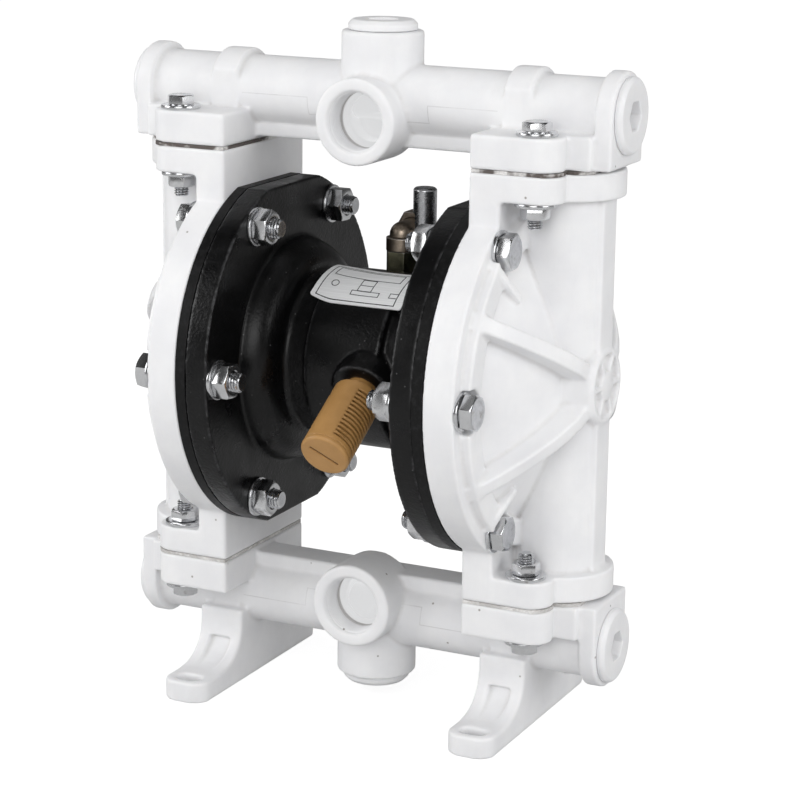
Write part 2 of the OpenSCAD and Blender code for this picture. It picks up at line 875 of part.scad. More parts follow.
module valve_sleeve() {
    color([0.72, 0.73, 0.75]) at_axis() translate([0, 0, spool_h]) difference() {
        disc_x(sleeve_r, -sleeve_l, sleeve_l);
        disc_x(spool_r + run_gap, -sleeve_l - cut, sleeve_l + cut);
        disc_y(air_bore_r, 0, sleeve_r + cut);
        for (side = [-1, 1]) translate([side * airway_x, 0, 0])
            rotate([atan2(airway_h - spool_h, airway_y) - 90, 0, 0])
            cylinder(r = airway_r, h = sleeve_r + cut);
        translate([0, 0, -spool_h]) on_exhaust() cylinder(r = airway_r, h = 2 * sleeve_r);
    }
}

module valve_spool() {
    land = 5;
    color([0.85, 0.86, 0.88]) at_axis() translate([0, 0, spool_h]) union() {
        disc_x(spool_r - spool_neck, -spool_l, spool_l);
        for (x = [-spool_l, -land / 2, spool_l - land]) disc_x(spool_r, x, x + land);
    }
}

module valve_cap(side) {
    color([0.2, 0.2, 0.21]) mirrored_x(side) at_axis() translate([0, 0, spool_h])
        disc_x(sleeve_r, sleeve_l, sleeve_l + cap_t);
}

module pilot_pin() {
    color([0.8, 0.81, 0.83]) at_axis() translate([0, pin_y, pin_h])
        disc_x(pin_r, -pin_l, pin_l);
}

module muffler_body() {
    start = exhaust_face + muffler_neck_l;
    body_l = muffler_l - muffler_cap_t;
    color([0.72, 0.55, 0.33]) at_axis() on_exhaust() difference() {
        union() {
            translate([0, 0, exhaust_face - muffler_in])
                cylinder(r = muffler_neck_r, h = muffler_in + muffler_neck_l + muffler_wall);
            translate([0, 0, start]) cylinder(r = muffler_r, h = body_l);
        }
        translate([0, 0, exhaust_face - muffler_in - cut])
            cylinder(r = exhaust_bore_r, h = muffler_in + muffler_neck_l + muffler_wall + 2 * cut);
        translate([0, 0, start + muffler_wall])
            cylinder(r = muffler_r - muffler_wall, h = body_l);
        for (i = [0:muffler_slots - 1], turn = [0, 180])
            translate([0, 0, start + muffler_slot_from + muffler_slot_pitch * i])
                rotate(muffler_slot_turn + turn)
                translate([muffler_r * cos(muffler_slot_half), -muffler_r, 0])
                cube([muffler_r, 2 * muffler_r, muffler_slot_w]);
    }
}

module muffler_cap() {
    tip = exhaust_face + muffler_neck_l + muffler_l;
    edge = 0.8;
    color([0.8, 0.66, 0.42]) at_axis() on_exhaust() difference() {
        union() {
            translate([0, 0, tip - muffler_cap_t]) cylinder(r = muffler_r, h = muffler_cap_t - edge);
            translate([0, 0, tip - edge]) cylinder(r1 = muffler_r, r2 = muffler_r - edge, h = edge);
            translate([0, 0, tip - muffler_cap_t - 3])
                cylinder(r = muffler_r - muffler_wall - fix_gap, h = 4);
        }
        translate([0, 0, tip]) rotate(cap_slot_turn) cube(cap_slot, center = true);
    }
}

// Air inlet

module at_inlet(h) {
    translate([0, inlet_y, h]) children();
}

module inlet_nipple() {
    color([0.55, 0.55, 0.45]) at_axis() at_inlet(inlet_pad_h) difference() {
        union() {
            translate([0, 0, -nipple_in]) cylinder(r = nipple_r, h = nipple_in + 1);
            linear_extrude(height = nipple_l) hexagon(nipple_af);
        }
        translate([0, 0, -nipple_in - cut])
            cylinder(r = air_bore_r, h = nipple_in + nipple_l + 2 * cut);
    }
}

module inlet_valve_body() {
    color([0.6, 0.5, 0.42]) at_axis() at_inlet(0) difference() {
        union() {
            translate([0, 0, inlet_pad_h + nipple_l]) cylinder(r = collar_ring_r, h = collar_ring_l);
            translate([0, 0, inlet_pad_h + nipple_l])
                cylinder(r = valve_leg_r, h = valve_h - inlet_pad_h - nipple_l);
            translate([0, 0, valve_h]) {
                sphere(r = valve_leg_r);
                disc_y(valve_leg_r, 0, valve_port_y + 1);
                disc_x(gland_r, 0, gland_x);
                translate([0, valve_port_y + valve_port_l, 0]) rotate([90, 0, 0])
                    linear_extrude(height = valve_port_l) hexagon(valve_port_af);
            }
        }
        translate([0, 0, valve_h]) {
            sphere(r = valve_ball_r + run_gap);
            disc_y(air_bore_r, 0, valve_port_y + 2);
            disc_y(valve_tap_r, valve_port_y + 1, valve_port_y + valve_port_l + cut);
            disc_x(stem_r + run_gap, 0, gland_x + cut);
        }
        translate([0, 0, inlet_pad_h]) cylinder(r = air_bore_r, h = valve_h - inlet_pad_h);
    }
}

module inlet_valve_ball() {
    color([0.8, 0.8, 0.8]) at_axis() at_inlet(valve_h) difference() {
        union() {
            sphere(r = valve_ball_r);
            disc_x(stem_r, 0, lever_spot_x - 1);
        }
        disc_y(valve_way_r, 0, valve_ball_r + cut);
        translate([0, 0, -valve_ball_r - cut])
            cylinder(r = valve_way_r, h = valve_ball_r + cut);
        disc_x(screw_r + fix_gap, lever_flat_x, lever_spot_x);
    }
}

module inlet_lever() {
    color([0.75, 0.76, 0.78]) at_axis() at_inlet(valve_h) difference() {
        translate([lever_x, 0, -lever_down]) rotate_extrude() polygon([
            [0, 0], [lever_r - lever_chamfer, 0], [lever_r, lever_chamfer],
            [lever_r, lever_down + lever_up - lever_chamfer],
            [lever_r - lever_chamfer, lever_down + lever_up], [0, lever_down + lever_up]
        ]);
        translate([0, -lever_r - cut, -lever_down - cut])
            cube([lever_flat_x, 2 * (lever_r + cut), lever_down + lever_flat_up + cut]);
        disc_x(stem_r + fix_gap, 0, lever_spot_x - 1 + fix_gap);
        disc_x(screw_r + bolt_gap, 0, lever_spot_x + cut);
        disc_x(screw_head_r + bolt_gap, lever_spot_x, lever_x + 2 * lever_r);
    }
}

module lever_screw() {
    color([0.8, 0.8, 0.82]) at_axis() at_inlet(valve_h) difference() {
        union() {
            disc_x(screw_r, lever_flat_x + 1, lever_spot_x + 0.5);
            disc_x(screw_head_r, lever_spot_x, lever_spot_x + screw_head_t);
        }
        translate([lever_spot_x + screw_head_t, 0, 0])
            cube([1.6, 0.9, 2 * screw_head_r + cut], center = true);
    }
}

// Plugs and plate

module hex_socket(h) {
    translate([0, 0, h - socket_d]) linear_extrude(height = socket_d + cut) hexagon(socket_af);
}

// A plug along +Z, with its head's underside at zero
module plug(thread_r, thread_l, head_r, head_t) {
    edge = 0.4 * head_t;
    difference() {
        union() {
            translate([0, 0, -thread_l]) cylinder(r = thread_r, h = thread_l + 1);
            rotate_extrude() polygon([
                [0, 0], [head_r, 0], [head_r, head_t - edge],
                [head_r - edge, head_t], [0, head_t]
            ]);
        }
        hex_socket(head_t);
    }
}

module spare_port_plug(way) {
    color([0.92, 0.92, 0.93]) at_axis() mirrored_z(way) translate([0, 0, riser_top])
        plug(port_tap_r - fix_gap, spare_l, spare_head_r, spare_head_t);
}

module end_plug(side, way) {
    color([0.92, 0.92, 0.93]) mirrored_x(side) at_axis() mirrored_z(way)
        translate([end_face, 0, tube_h]) rotate([0, 90, 0]) rotate(30)
        plug(plug_r, plug_l, plug_head_r, plug_head_t);
}

module nameplate() {
    color([0.72, 0.73, 0.75]) at_axis() intersection() {
        translate([-plate_half, 0, 0]) rotate([0, 90, 0]) difference() {
            cylinder(r = waist_r + glue_t + plate_t, h = 2 * plate_half);
            translate([0, 0, -cut]) cylinder(r = waist_r + glue_t, h = 2 * (plate_half + cut));
        }
        rotate([0, 90, 0]) translate([0, 0, -plate_half]) linear_extrude(height = 2 * plate_half)
            polygon([
                [0, 0],
                for (i = [0:4]) let (a = plate_low_angle + (plate_high_angle - plate_low_angle) * i / 4)
                    [-2 * waist_r * sin(a), -2 * waist_r * cos(a)]
            ]);
    }
}

// Fasteners

// A washer with its underside at zero, pointing along +Z
module washer(r, hole_r) {
    difference() {
        cylinder(r = r, h = washer_t);
        translate([0, 0, -cut]) cylinder(r = hole_r + washer_hole_gap, h = washer_t + 2 * cut);
    }
}

// A bolt whose head's underside is at zero and whose shank points down
module bolt(r, af, l) {
    head_h = 2 * r * head_share;
    translate([0, 0, -l]) cylinder(r = r, h = l + 1);
    intersection() {
        linear_extrude(height = head_h) hexagon(af);
        cylinder(r1 = af / 2 / cos(30) + head_h, r2 = af / 2 - 0.1, h = head_h);
    }
}

// A nut with its underside at zero
module nut(r, af) {
    nut_h = 2 * r * nut_share;
    difference() {
        linear_extrude(height = nut_h) hexagon(af);
        translate([0, 0, -cut]) cylinder(r = r + fix_gap, h = nut_h + 2 * cut);
    }
}

module at_pipe_bolts(way) {
    at_axis() mirrored_z(way) for (side = [-1, 1], s = [-1, 1])
        translate([side * bolt_x, s * bolt_y, 0]) children();
}

module manifold_bolts(way) {
    color([0.78, 0.79, 0.8]) at_pipe_bolts(way)
        translate([0, 0, manifold_far_h + washer_t])
        bolt(small_r, small_af,
             manifold_far_h - chamber_flange_h + 2 * washer_t + 2 * small_r * nut_share + thread_out);
}

module manifold_nuts(way) {
    color([0.78, 0.79, 0.8]) at_pipe_bolts(way)
        translate([0, 0, chamber_flange_h - washer_t]) mirror([0, 0, 1]) nut(small_r, small_af);
}

module manifold_washers() {
    color([0.7, 0.71, 0.72]) for (way = [-1, 1]) at_pipe_bolts(way) {
        translate([0, 0, manifold_far_h]) washer(small_washer_r, small_r);
        translate([0, 0, chamber_flange_h - washer_t]) washer(small_washer_r, small_r);
    }
}

module at_chamber_bolts(side) {
    mirrored_x(side) at_axis() for (a = bolt_angles) round_x(a, bolt_ring_r)
        rotate([0, 90, 0]) children();
}

module chamber_bolts(side) {
    color([0.78, 0.79, 0.8]) at_chamber_bolts(side) translate([0, 0, cover_out - spot_sink + washer_t])
        bolt(large_r, large_af,
             cover_out - spot_sink - air_face + 2 * washer_t
             + 2 * large_r * nut_share + thread_out);
}

module chamber_nuts(side) {
    color([0.78, 0.79, 0.8]) at_chamber_bolts(side) translate([0, 0, air_face - washer_t])
        mirror([0, 0, 1]) nut(large_r, large_af);
}

module chamber_washers() {
    color([0.7, 0.71, 0.72]) for (side = [-1, 1]) at_chamber_bolts(side) {
        translate([0, 0, cover_out - spot_sink]) washer(large_washer_r, large_r);
        translate([0, 0, air_face - washer_t]) washer(large_washer_r, large_r);
    }
}

discharge_manifold();
suction_manifold();
color([0.92, 0.92, 0.93]) liquid_chamber(-1);  // liquid_chamber_left
color([0.92, 0.92, 0.93]) liquid_chamber(1);  // liquid_chamber_right
center_body();
diaphragm(-1);  // diaphragm_left
diaphragm(1);  // diaphragm_right
outer_plate(-1);  // outer_plate_left
outer_plate(1);  // outer_plate_right
inner_plate(-1);  // inner_plate_left
inner_plate(1);  // inner_plate_right
diaphragm_shaft();
shaft_bushing(-1);  // shaft_bushing_left
shaft_bushing(1);  // shaft_bushing_right
shaft_seal(-1);  // shaft_seal_left
shaft_seal(1);  // shaft_seal_right
valve_sleeve();
valve_spool();
valve_cap(-1);  // valve_cap_left
valve_cap(1);  // valve_cap_right
pilot_pin();
check_ball(-1, suction_seat_top);  // suction_ball_left
check_ball(1, suction_seat_top);  // suction_ball_right
check_ball(-1, seat_top_h);  // discharge_ball_left
check_ball(1, seat_top_h);  // discharge_ball_right
ball_seat(-1, suction_seat_top);  // suction_seat_left
ball_seat(1, suction_seat_top);  // suction_seat_right
ball_seat(-1, seat_top_h);  // discharge_seat_left
ball_seat(1, seat_top_h);  // discharge_seat_right
pipe_gasket(-1, -1);  // suction_gasket_left
pipe_gasket(1, -1);  // suction_gasket_right
pipe_gasket(-1, 1);  // discharge_gasket_left
pipe_gasket(1, 1);  // discharge_gasket_right
muffler_body();
muffler_cap();
inlet_nipple();
inlet_valve_body();
inlet_valve_ball();
inlet_lever();
lever_screw();
spare_port_plug(1);  // top_plug
spare_port_plug(-1);  // bottom_plug
end_plug(-1, 1);  // end_plug_top_left
end_plug(1, 1);  // end_plug_top_right
end_plug(-1, -1);  // end_plug_bottom_left
end_plug(1, -1);  // end_plug_bottom_right
nameplate();
manifold_bolts(1);  // manifold_bolts_top
manifold_bolts(-1);  // manifold_bolts_bottom
manifold_nuts(1);  // manifold_nuts_top
manifold_nuts(-1);  // manifold_nuts_bottom
manifold_washers();
chamber_bolts(-1);  // chamber_bolts_left
chamber_bolts(1);  // chamber_bolts_right
chamber_nuts(-1);  // chamber_nuts_left
chamber_nuts(1);  // chamber_nuts_right
chamber_washers();
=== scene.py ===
import json
import math

import bmesh
import bpy
import numpy as np
from bpy.props import FloatProperty, FloatVectorProperty, IntProperty, PointerProperty
from mathutils import Matrix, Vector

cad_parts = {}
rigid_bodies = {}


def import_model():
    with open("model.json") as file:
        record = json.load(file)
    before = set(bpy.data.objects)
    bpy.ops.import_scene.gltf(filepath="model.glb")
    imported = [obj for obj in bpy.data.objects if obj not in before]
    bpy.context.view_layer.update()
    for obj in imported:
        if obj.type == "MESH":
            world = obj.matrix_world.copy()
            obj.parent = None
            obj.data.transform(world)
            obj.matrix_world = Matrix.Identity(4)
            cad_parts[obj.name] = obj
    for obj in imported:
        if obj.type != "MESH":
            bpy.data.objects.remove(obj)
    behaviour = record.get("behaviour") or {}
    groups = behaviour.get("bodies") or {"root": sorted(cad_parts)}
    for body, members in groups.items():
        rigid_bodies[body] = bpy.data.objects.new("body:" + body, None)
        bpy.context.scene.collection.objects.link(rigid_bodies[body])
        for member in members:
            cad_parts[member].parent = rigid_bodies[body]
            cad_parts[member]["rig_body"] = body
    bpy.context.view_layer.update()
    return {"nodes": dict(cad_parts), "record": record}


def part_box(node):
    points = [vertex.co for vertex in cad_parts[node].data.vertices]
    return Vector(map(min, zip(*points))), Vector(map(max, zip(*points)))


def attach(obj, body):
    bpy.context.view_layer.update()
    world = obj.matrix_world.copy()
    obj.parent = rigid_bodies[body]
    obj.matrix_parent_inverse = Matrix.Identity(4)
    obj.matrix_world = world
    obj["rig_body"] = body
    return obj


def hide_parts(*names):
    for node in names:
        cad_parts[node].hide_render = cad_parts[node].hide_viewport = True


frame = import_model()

bl_info = {
    "name": "Double Diaphragm Pump",
    "version": (1, 0, 0),
    "blender": (4, 5, 0),
    "location": "View3D > Sidebar > Pump",
    "description": "Moulded, cast and threaded surfaces of an air operated double diaphragm pump",
    "category": "Object",
}

MM = 0.001
SIDES = {"left": -1, "right": 1}
LEVELS = {"top": 1, "bottom": -1}
MOUNTS = {mount["name"]: mount for mount in frame["record"]["mounts"]}


def box(node):
    """Lowest and highest corner of a CAD piece, in millimetres."""
    low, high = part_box(node)
    return np.array(low) / MM, np.array(high) / MM


# Bolts and their seats, in millimetres, from the CAD pieces
WASHER = 1.5
WASHER_RADIUS = 8
CHAMBER_FLATS = 13
PIPE_FLATS = 10
HEAD_SHARE = 0.66
NUT_SHARE = 0.8
BOLT_END = 3.9
AXIS = sum(corner[2] for corner in box("diaphragm_shaft")) / 2
BOLT_RING = box("chamber_bolts_right")[1][1] - CHAMBER_FLATS / 2
BOLT_ANGLES = [60 * i for i in range(6)]
COVER_SEAT = box("chamber_washers")[1][0] - WASHER
BODY_SEAT = box("chamber_nuts_right")[1][0] + WASHER
PIPE_BOLT_X = box("manifold_bolts_top")[1][0] - PIPE_FLATS / 2 / math.cos(math.pi / 6)
PIPE_BOLT_Y = box("manifold_bolts_top")[1][1] - PIPE_FLATS / 2
PIPE_HEAD_SEAT = box("manifold_washers")[1][2] - WASHER - AXIS
PIPE_NUT_SEAT = box("manifold_nuts_top")[1][2] + WASHER - AXIS

# Heads of bolts and nuts: hexagons cut by a cone, with small steps at the edges
HEX_TOP = 0.475
HEX_SLOPE = math.tan(math.radians(28))
HEX_EDGE = 0.05

# Ports and tubes, in millimetres: heights above and below the axis, bores, and where the shade, the
# glow and the mould line start and end; the upright bore's ends are measured from the port's height
PORT_RISE = MOUNTS["discharge_port"]["pos_m"][2] / MM - AXIS
TUBE_RISE = sum(corner[2] for corner in box("end_plug_top_left")) / 2 - AXIS
PORT_TAP = 12.35
PORT_BACK = 0.5
PORT_EDGE = 17.4
UPRIGHT_BORE = 9.7
UPRIGHT_START, UPRIGHT_END = -0.5, 20.5
TUBE_BORE = 8.9
TUBE_END = 60
SHADE_START, SHADE_FULL, SHADE_FADE, SHADE_END = -15.2, -13.2, -12.4, -11.2
GLOW_FULL = -10.8
MOULD_STEP = 26.4
MOULD_END = 56
RUBBER_LINE = 54

# Foil plate: its low edge's angle in degrees, and sizes in millimetres along and round the waist
WAIST = 36
PLATE_LOW = 50
PLATE_START = 0.8
PLATE_CORNER = 1
PLATE_TALL = 24.2
PLATE_FOOT, PLATE_TURN, PLATE_LOOSE = -1.95, 3.25, 11.4
PLATE_HEAD, PLATE_RISE, PLATE_TAPER = 22.2, 5.2, 23
PLATE_SKINS = (0.52, 0.06)
PLATE_BOXES = (
    ((20.8, 11.7), (17.6, 10.2), 0.24), ((20.6, 17.9), (15.1, 3.0), 0.22),
    ((23.0, 12.7), (3.0, 1.8), 0.2), ((23.0, 9.2), (3.0, 1.7), 0.2),
    ((23.9, 6.2), (6.1, 1.15), 0.2), ((36.6, 6.6), (1.8, 1.2), 0.2),
)
PLATE_RING = ((8.8, 9.6), 1.6, 0.22)

# Camera: the picture's width and the focal length in pixels, the sensor in millimetres, and how far
# right of and below the pump's middle it aims, in metres; the floor's half width, in metres
PICTURE, SENSOR, FOCAL = 800, 36, 2471.4
MIDDLE = np.array((0, 0, 0.14))
AIM_RIGHT, AIM_DOWN = 0.008494, 0.014088
FLOOR = 20


# Mesh building

def turned(rings, columns):
    """Rings turned round Z: x = r cos a, y = r sin a, z = h.

    A ring is a radius and a height, and either is one number or one for each column.
    """
    r, h = (np.array([np.broadcast_to(ring[k], columns) for ring in rings], float) for k in (0, 1))
    a = np.linspace(0, 2 * np.pi, columns, endpoint=False)
    return np.stack([r * np.cos(a), r * np.sin(a), h], axis=-1)


def grid(rings, closed=False):
    """A surface through rings of points, as (points, quads); closed joins the last to the first."""
    rows, columns = rings.shape[:2]
    i = np.arange(rows if closed else rows - 1)[:, None]
    j = np.arange(columns)[None, :]
    up, across = (i + 1) % rows, (j + 1) % columns
    corners = [i * columns + j, i * columns + across, up * columns + across, up * columns + j]
    return rings.reshape(-1, 3), np.stack(np.broadcast_arrays(*corners), axis=-1).reshape(-1, 4)


def placed(surface, matrix):
    """The surface moved by a 4x4 matrix."""
    points, faces = surface
    m = np.array(matrix, float)
    return points @ m[:3, :3].T + m[:3, 3], faces


def joined(surfaces):
    """Several surfaces as one list of points and faces."""
    points, faces, start = [], [], 0
    for p, f in surfaces:
        points.append(p)
        faces.append(f + start)
        start += len(p)
    return np.concatenate(points), np.concatenate(faces)


def weld(mesh, distance, outward=True):
    """Merges doubled points, and turns the faces out where asked."""
    build = bmesh.new()
    build.from_mesh(mesh)
    bmesh.ops.remove_doubles(build, verts=build.verts, dist=distance)
    if outward:
        bmesh.ops.recalc_face_normals(build, faces=build.faces)
    build.to_mesh(mesh)
    build.free()


def in_scene(name, data):
    """An object made of a mesh, lamp or camera, linked to the scene."""
    thing = bpy.data.objects.new(name, data)
    bpy.context.scene.collection.objects.link(thing)
    return thing


def finish_piece(piece, material, body, replaced=(), sharp=True):
    """Shades the piece smooth, with its sharp edges kept or not, and ties it to its body."""
    mesh = piece.data
    mesh.shade_smooth()
    if sharp:
        mesh.set_sharp_from_angle(angle=math.radians(35))
    mesh.materials.clear()
    mesh.materials.append(material)
    if replaced:
        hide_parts(*replaced)
    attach(piece, body)
    return piece


def new_piece(name, surface, material, body, replaced=(), uv=None):
    """Makes an object from points in millimetres; uv holds each point's place on the plate."""
    points, faces = surface
    mesh = bpy.data.meshes.new(name)
    mesh.from_pydata((points * MM).tolist(), [], faces.tolist())
    if uv is not None:
        corners = np.empty(len(mesh.loops), np.int32)
        mesh.loops.foreach_get("vertex_index", corners)
        layer = mesh.uv_layers.new(name="plate")
        layer.data.foreach_set("uv", uv[corners].ravel().astype(np.float32))
    weld(mesh, 2e-6)
    piece = in_scene(name, mesh)
    mark_edges(piece, 1)
    return finish_piece(piece, material, body, replaced)


def apply_modifiers(piece):
    """Replaces the piece's mesh by what its modifiers make of it."""
    graph = bpy.context.evaluated_depsgraph_get()
    mesh = bpy.data.meshes.new_from_object(piece.evaluated_get(graph), depsgraph=graph)
    piece.modifiers.clear()
    old = piece.data
    piece.data = mesh
    bpy.data.meshes.remove(old)


def mark_edges(piece, rounds):
    """Stores how far each point stands out of its neighbours' mean along its normal, from -1 to 1.

    The distance is divided by the mean edge length there, and smoothed a few rounds.
    """
    mesh = piece.data
    n = len(mesh.vertices)
    co = np.empty(n * 3, np.float32)
    mesh.vertices.foreach_get("co", co)
    co = co.reshape(-1, 3).astype(float)
    normal = np.empty(n * 3, np.float32)
    mesh.vertex_normals.foreach_get("vector", normal)
    normal = normal.reshape(-1, 3).astype(float)
    edge = np.empty(len(mesh.edges) * 2, np.int32)
    mesh.edges.foreach_get("vertices", edge)
    a, b = edge.reshape(-1, 2).T
    count = np.maximum(np.bincount(edge, minlength=n), 1)

    def neighbour_mean(values):
        """Mean of a value over each point's neighbours."""
        return (np.bincount(a, values[b], n) + np.bincount(b, values[a], n)) / count

    reach = np.linalg.norm(co[a] - co[b], axis=1)
    size = (np.bincount(a, reach, n) + np.bincount(b, reach, n)) / count
    mean = np.stack([neighbour_mean(co[:, k]) for k in range(3)], axis=1)
    bend = ((co - mean) * normal).sum(1) / np.maximum(size, 1e-9)
    for _ in range(rounds):
        bend = 0.5 * bend + 0.5 * neighbour_mean(bend)
    attribute = mesh.attributes.new("edge_wear_and_crease_shade", "FLOAT", "POINT")
    attribute.data.foreach_set("value", np.clip(bend * 6, -1, 1).astype(np.float32))


def rounded_copy(node, name, material, voxel, passes, most=190000):
    """A copy of a CAD solid with soft edges: refilled on an even grid, relaxed, then thinned."""
    mesh = frame["nodes"][node].data.copy()
    weld(mesh, 1e-6, outward=False)
    piece = in_scene(name, mesh)
    fill = piece.modifiers.new("Even grid", "REMESH")
    fill.mode = "VOXEL"
    fill.voxel_size = voxel
    relax = piece.modifiers.new("Soft edges", "SMOOTH")
    relax.factor = 0.5
    relax.iterations = passes
    apply_modifiers(piece)
    piece.data.calc_loop_triangles()
    count = len(piece.data.loop_triangles)
    if count > most:
        thin = piece.modifiers.new("Thinned", "DECIMATE")
        thin.ratio = most / count
        apply_modifiers(piece)
    mark_edges(piece, 2)
    body = frame["nodes"][node]["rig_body"]
    return finish_piece(piece, material, body, (node,), sharp=False)


# Shader building

def new_finish(name):
    """An empty material and its tree and shader."""
    material = bpy.data.materials.new(name)
    material.use_nodes = True
    tree = material.node_tree
    return material, tree, tree.nodes["Principled BSDF"]


def feed(tree, node, inputs):
    """Sets a node's inputs, by name or number, to values, or links sockets to them."""
    for key, value in inputs.items():
        if isinstance(value, bpy.types.NodeSocket):
            tree.links.new(value, node.inputs[key])
        else:
            node.inputs[key].default_value = value


def add(tree, kind, settings=None, **inputs):
    """Adds a shader node. Inputs are sockets or values; i0, i1 and so on are inputs by number."""
    made = tree.nodes.new(kind)
    for key, value in (settings or {}).items():
        setattr(made, key, value)
    for key, value in inputs.items():
        number = key[1:]
        feed(tree, made, {int(number) if key[0] == "i" and number.isdigit() else key: value})
    return made


def place(tree, stretch=None):
    """Object coordinates in metres, stretched where a grain runs one way."""
    coordinates = add(tree, "ShaderNodeTexCoord").outputs["Object"]
    if stretch is None:
        return coordinates
    return add(tree, "ShaderNodeMapping", Vector=coordinates, Scale=stretch).outputs[0]


def axes(tree, vector):
    """The three numbers of a vector."""
    return list(add(tree, "ShaderNodeSeparateXYZ", i0=vector).outputs)


def noise(tree, vector, scale, detail=3.0, roughness=0.5):
    """Cloudy noise from 0 to 1, about scale bumps to the metre."""
    return add(tree, "ShaderNodeTexNoise", Vector=vector, Scale=scale, Detail=detail,
               Roughness=roughness).outputs["Fac"]


def span(tree, value, low, high, a=0.0, b=1.0):
    """Maps low..high to a..b and holds it there outside."""
    return add(tree, "ShaderNodeMapRange", i0=value, i1=low, i2=high, i3=a, i4=b).outputs[0]


def calc(tree, operation, a, b=0.0, c=0.0):
    """One sum on two or three numbers."""
    return add(tree, "ShaderNodeMath", {"operation": operation}, i0=a, i1=b, i2=c).outputs[0]


def product(tree, first, *others):
    """Product of several numbers."""
    for other in others:
        first = calc(tree, "MULTIPLY", first, other)
    return first


def away(tree, value, middle):
    """Distance of a number from a middle, always above 0."""
    return calc(tree, "ABSOLUTE", calc(tree, "SUBTRACT", value, middle))


def between(tree, value, low, high):
    """1 where a number lies between two sizes in millimetres."""
    return calc(tree, "LESS_THAN", away(tree, value, (low + high) / 2 * MM), (high - low) / 2 * MM)


def length(tree, a, b):
    """Square root of a squared plus b squared."""
    return calc(tree, "SQRT", calc(tree, "MULTIPLY_ADD", a, a, calc(tree, "MULTIPLY", b, b)))


def mix(tree, share, a, b):
    """Colour a with a share of colour b."""
    return add(tree, "ShaderNodeMix", {"data_type": "RGBA"}, i0=share, i6=a, i7=b).outputs[2]


def tinted(colour, *shares):
    """A colour with its red, green and blue multiplied by a share each."""
    return tuple(value * share for value, share in zip(colour, shares)) + (1,)


def grey(level):
    """A grey colour."""
    return (level, level, level, 1)


def edge_wear_and_crease_shade(tree):
    """The edge attribute that mark_edges stores: above 0 on edges, below 0 in corners. The finishes
    read it for edge wear, and for painted shade in corners and creases.
    """
    return add(tree, "ShaderNodeAttribute", {"attribute_name": "edge_wear_and_crease_shade"}).outputs["Fac"]


def bumps(tree, height, distance, strength, *under):
    """Bump from a height that runs from 0 to 1 over a distance in metres, on the one under it."""
    made = add(tree, "ShaderNodeBump", Height=height, Distance=distance, Strength=strength)
    for normal in under:
        tree.links.new(normal, made.inputs["Normal"])
    return made.outputs[0]


def specks(tree, vector, scale, share, size):
    """Small round specks: the middles of a few of a cell pattern's cells."""
    cells = add(tree, "ShaderNodeTexVoronoi", Vector=vector, Scale=scale, Randomness=1.0)
    chosen = add(tree, "ShaderNodeSeparateColor", i0=cells.outputs["Color"]).outputs[0]
    near = span(tree, cells.outputs["Distance"], size, size * 0.5)
    return calc(tree, "MULTIPLY", near, calc(tree, "GREATER_THAN", chosen, 1 - share))


def mould_line(tree, x, rise):
    """1 on the mould's parting line, which runs beside the port and along the tube.

    The line is at each tube's middle and steps to the middle of the port beside the port.
    """
    step = calc(tree, "MAXIMUM", calc(tree, "SUBTRACT", x, MOULD_STEP * MM),
                calc(tree, "SUBTRACT", PORT_RISE * MM, rise))
    past = calc(tree, "MINIMUM", calc(tree, "SUBTRACT", TUBE_RISE * MM, rise), step)
    return product(tree, span(tree, calc(tree, "ABSOLUTE", past), 0.00028, 0.00008),
                   between(tree, x, PORT_EDGE, MOULD_END))


def port_parts(tree, x, y, rise):
    """1 in the shaded end of a port's thread, and 1 in the glowing space past it.

    Both lie inside the port's bore, the upright bore or the tube's bore.
    """
    off = calc(tree, "SUBTRACT", rise, PORT_RISE * MM)
    over = calc(tree, "SUBTRACT", rise, TUBE_RISE * MM)
    front = product(tree, calc(tree, "LESS_THAN", length(tree, x, off), PORT_TAP * MM),
                    calc(tree, "LESS_THAN", y, PORT_BACK * MM))
    upright = product(tree, calc(tree, "LESS_THAN", length(tree, x, y), UPRIGHT_BORE * MM),
                      between(tree, off, UPRIGHT_START, UPRIGHT_END))
    along = product(tree, calc(tree, "LESS_THAN", length(tree, y, over), TUBE_BORE * MM),
                    calc(tree, "LESS_THAN", x, TUBE_END * MM))
    inside = calc(tree, "MAXIMUM", calc(tree, "MAXIMUM", front, upright), along)
    shade = product(tree, inside, span(tree, y, SHADE_START * MM, SHADE_FULL * MM),
                    span(tree, y, SHADE_END * MM, SHADE_FADE * MM))
    return shade, product(tree, inside, span(tree, y, SHADE_FADE * MM, GLOW_FULL * MM))


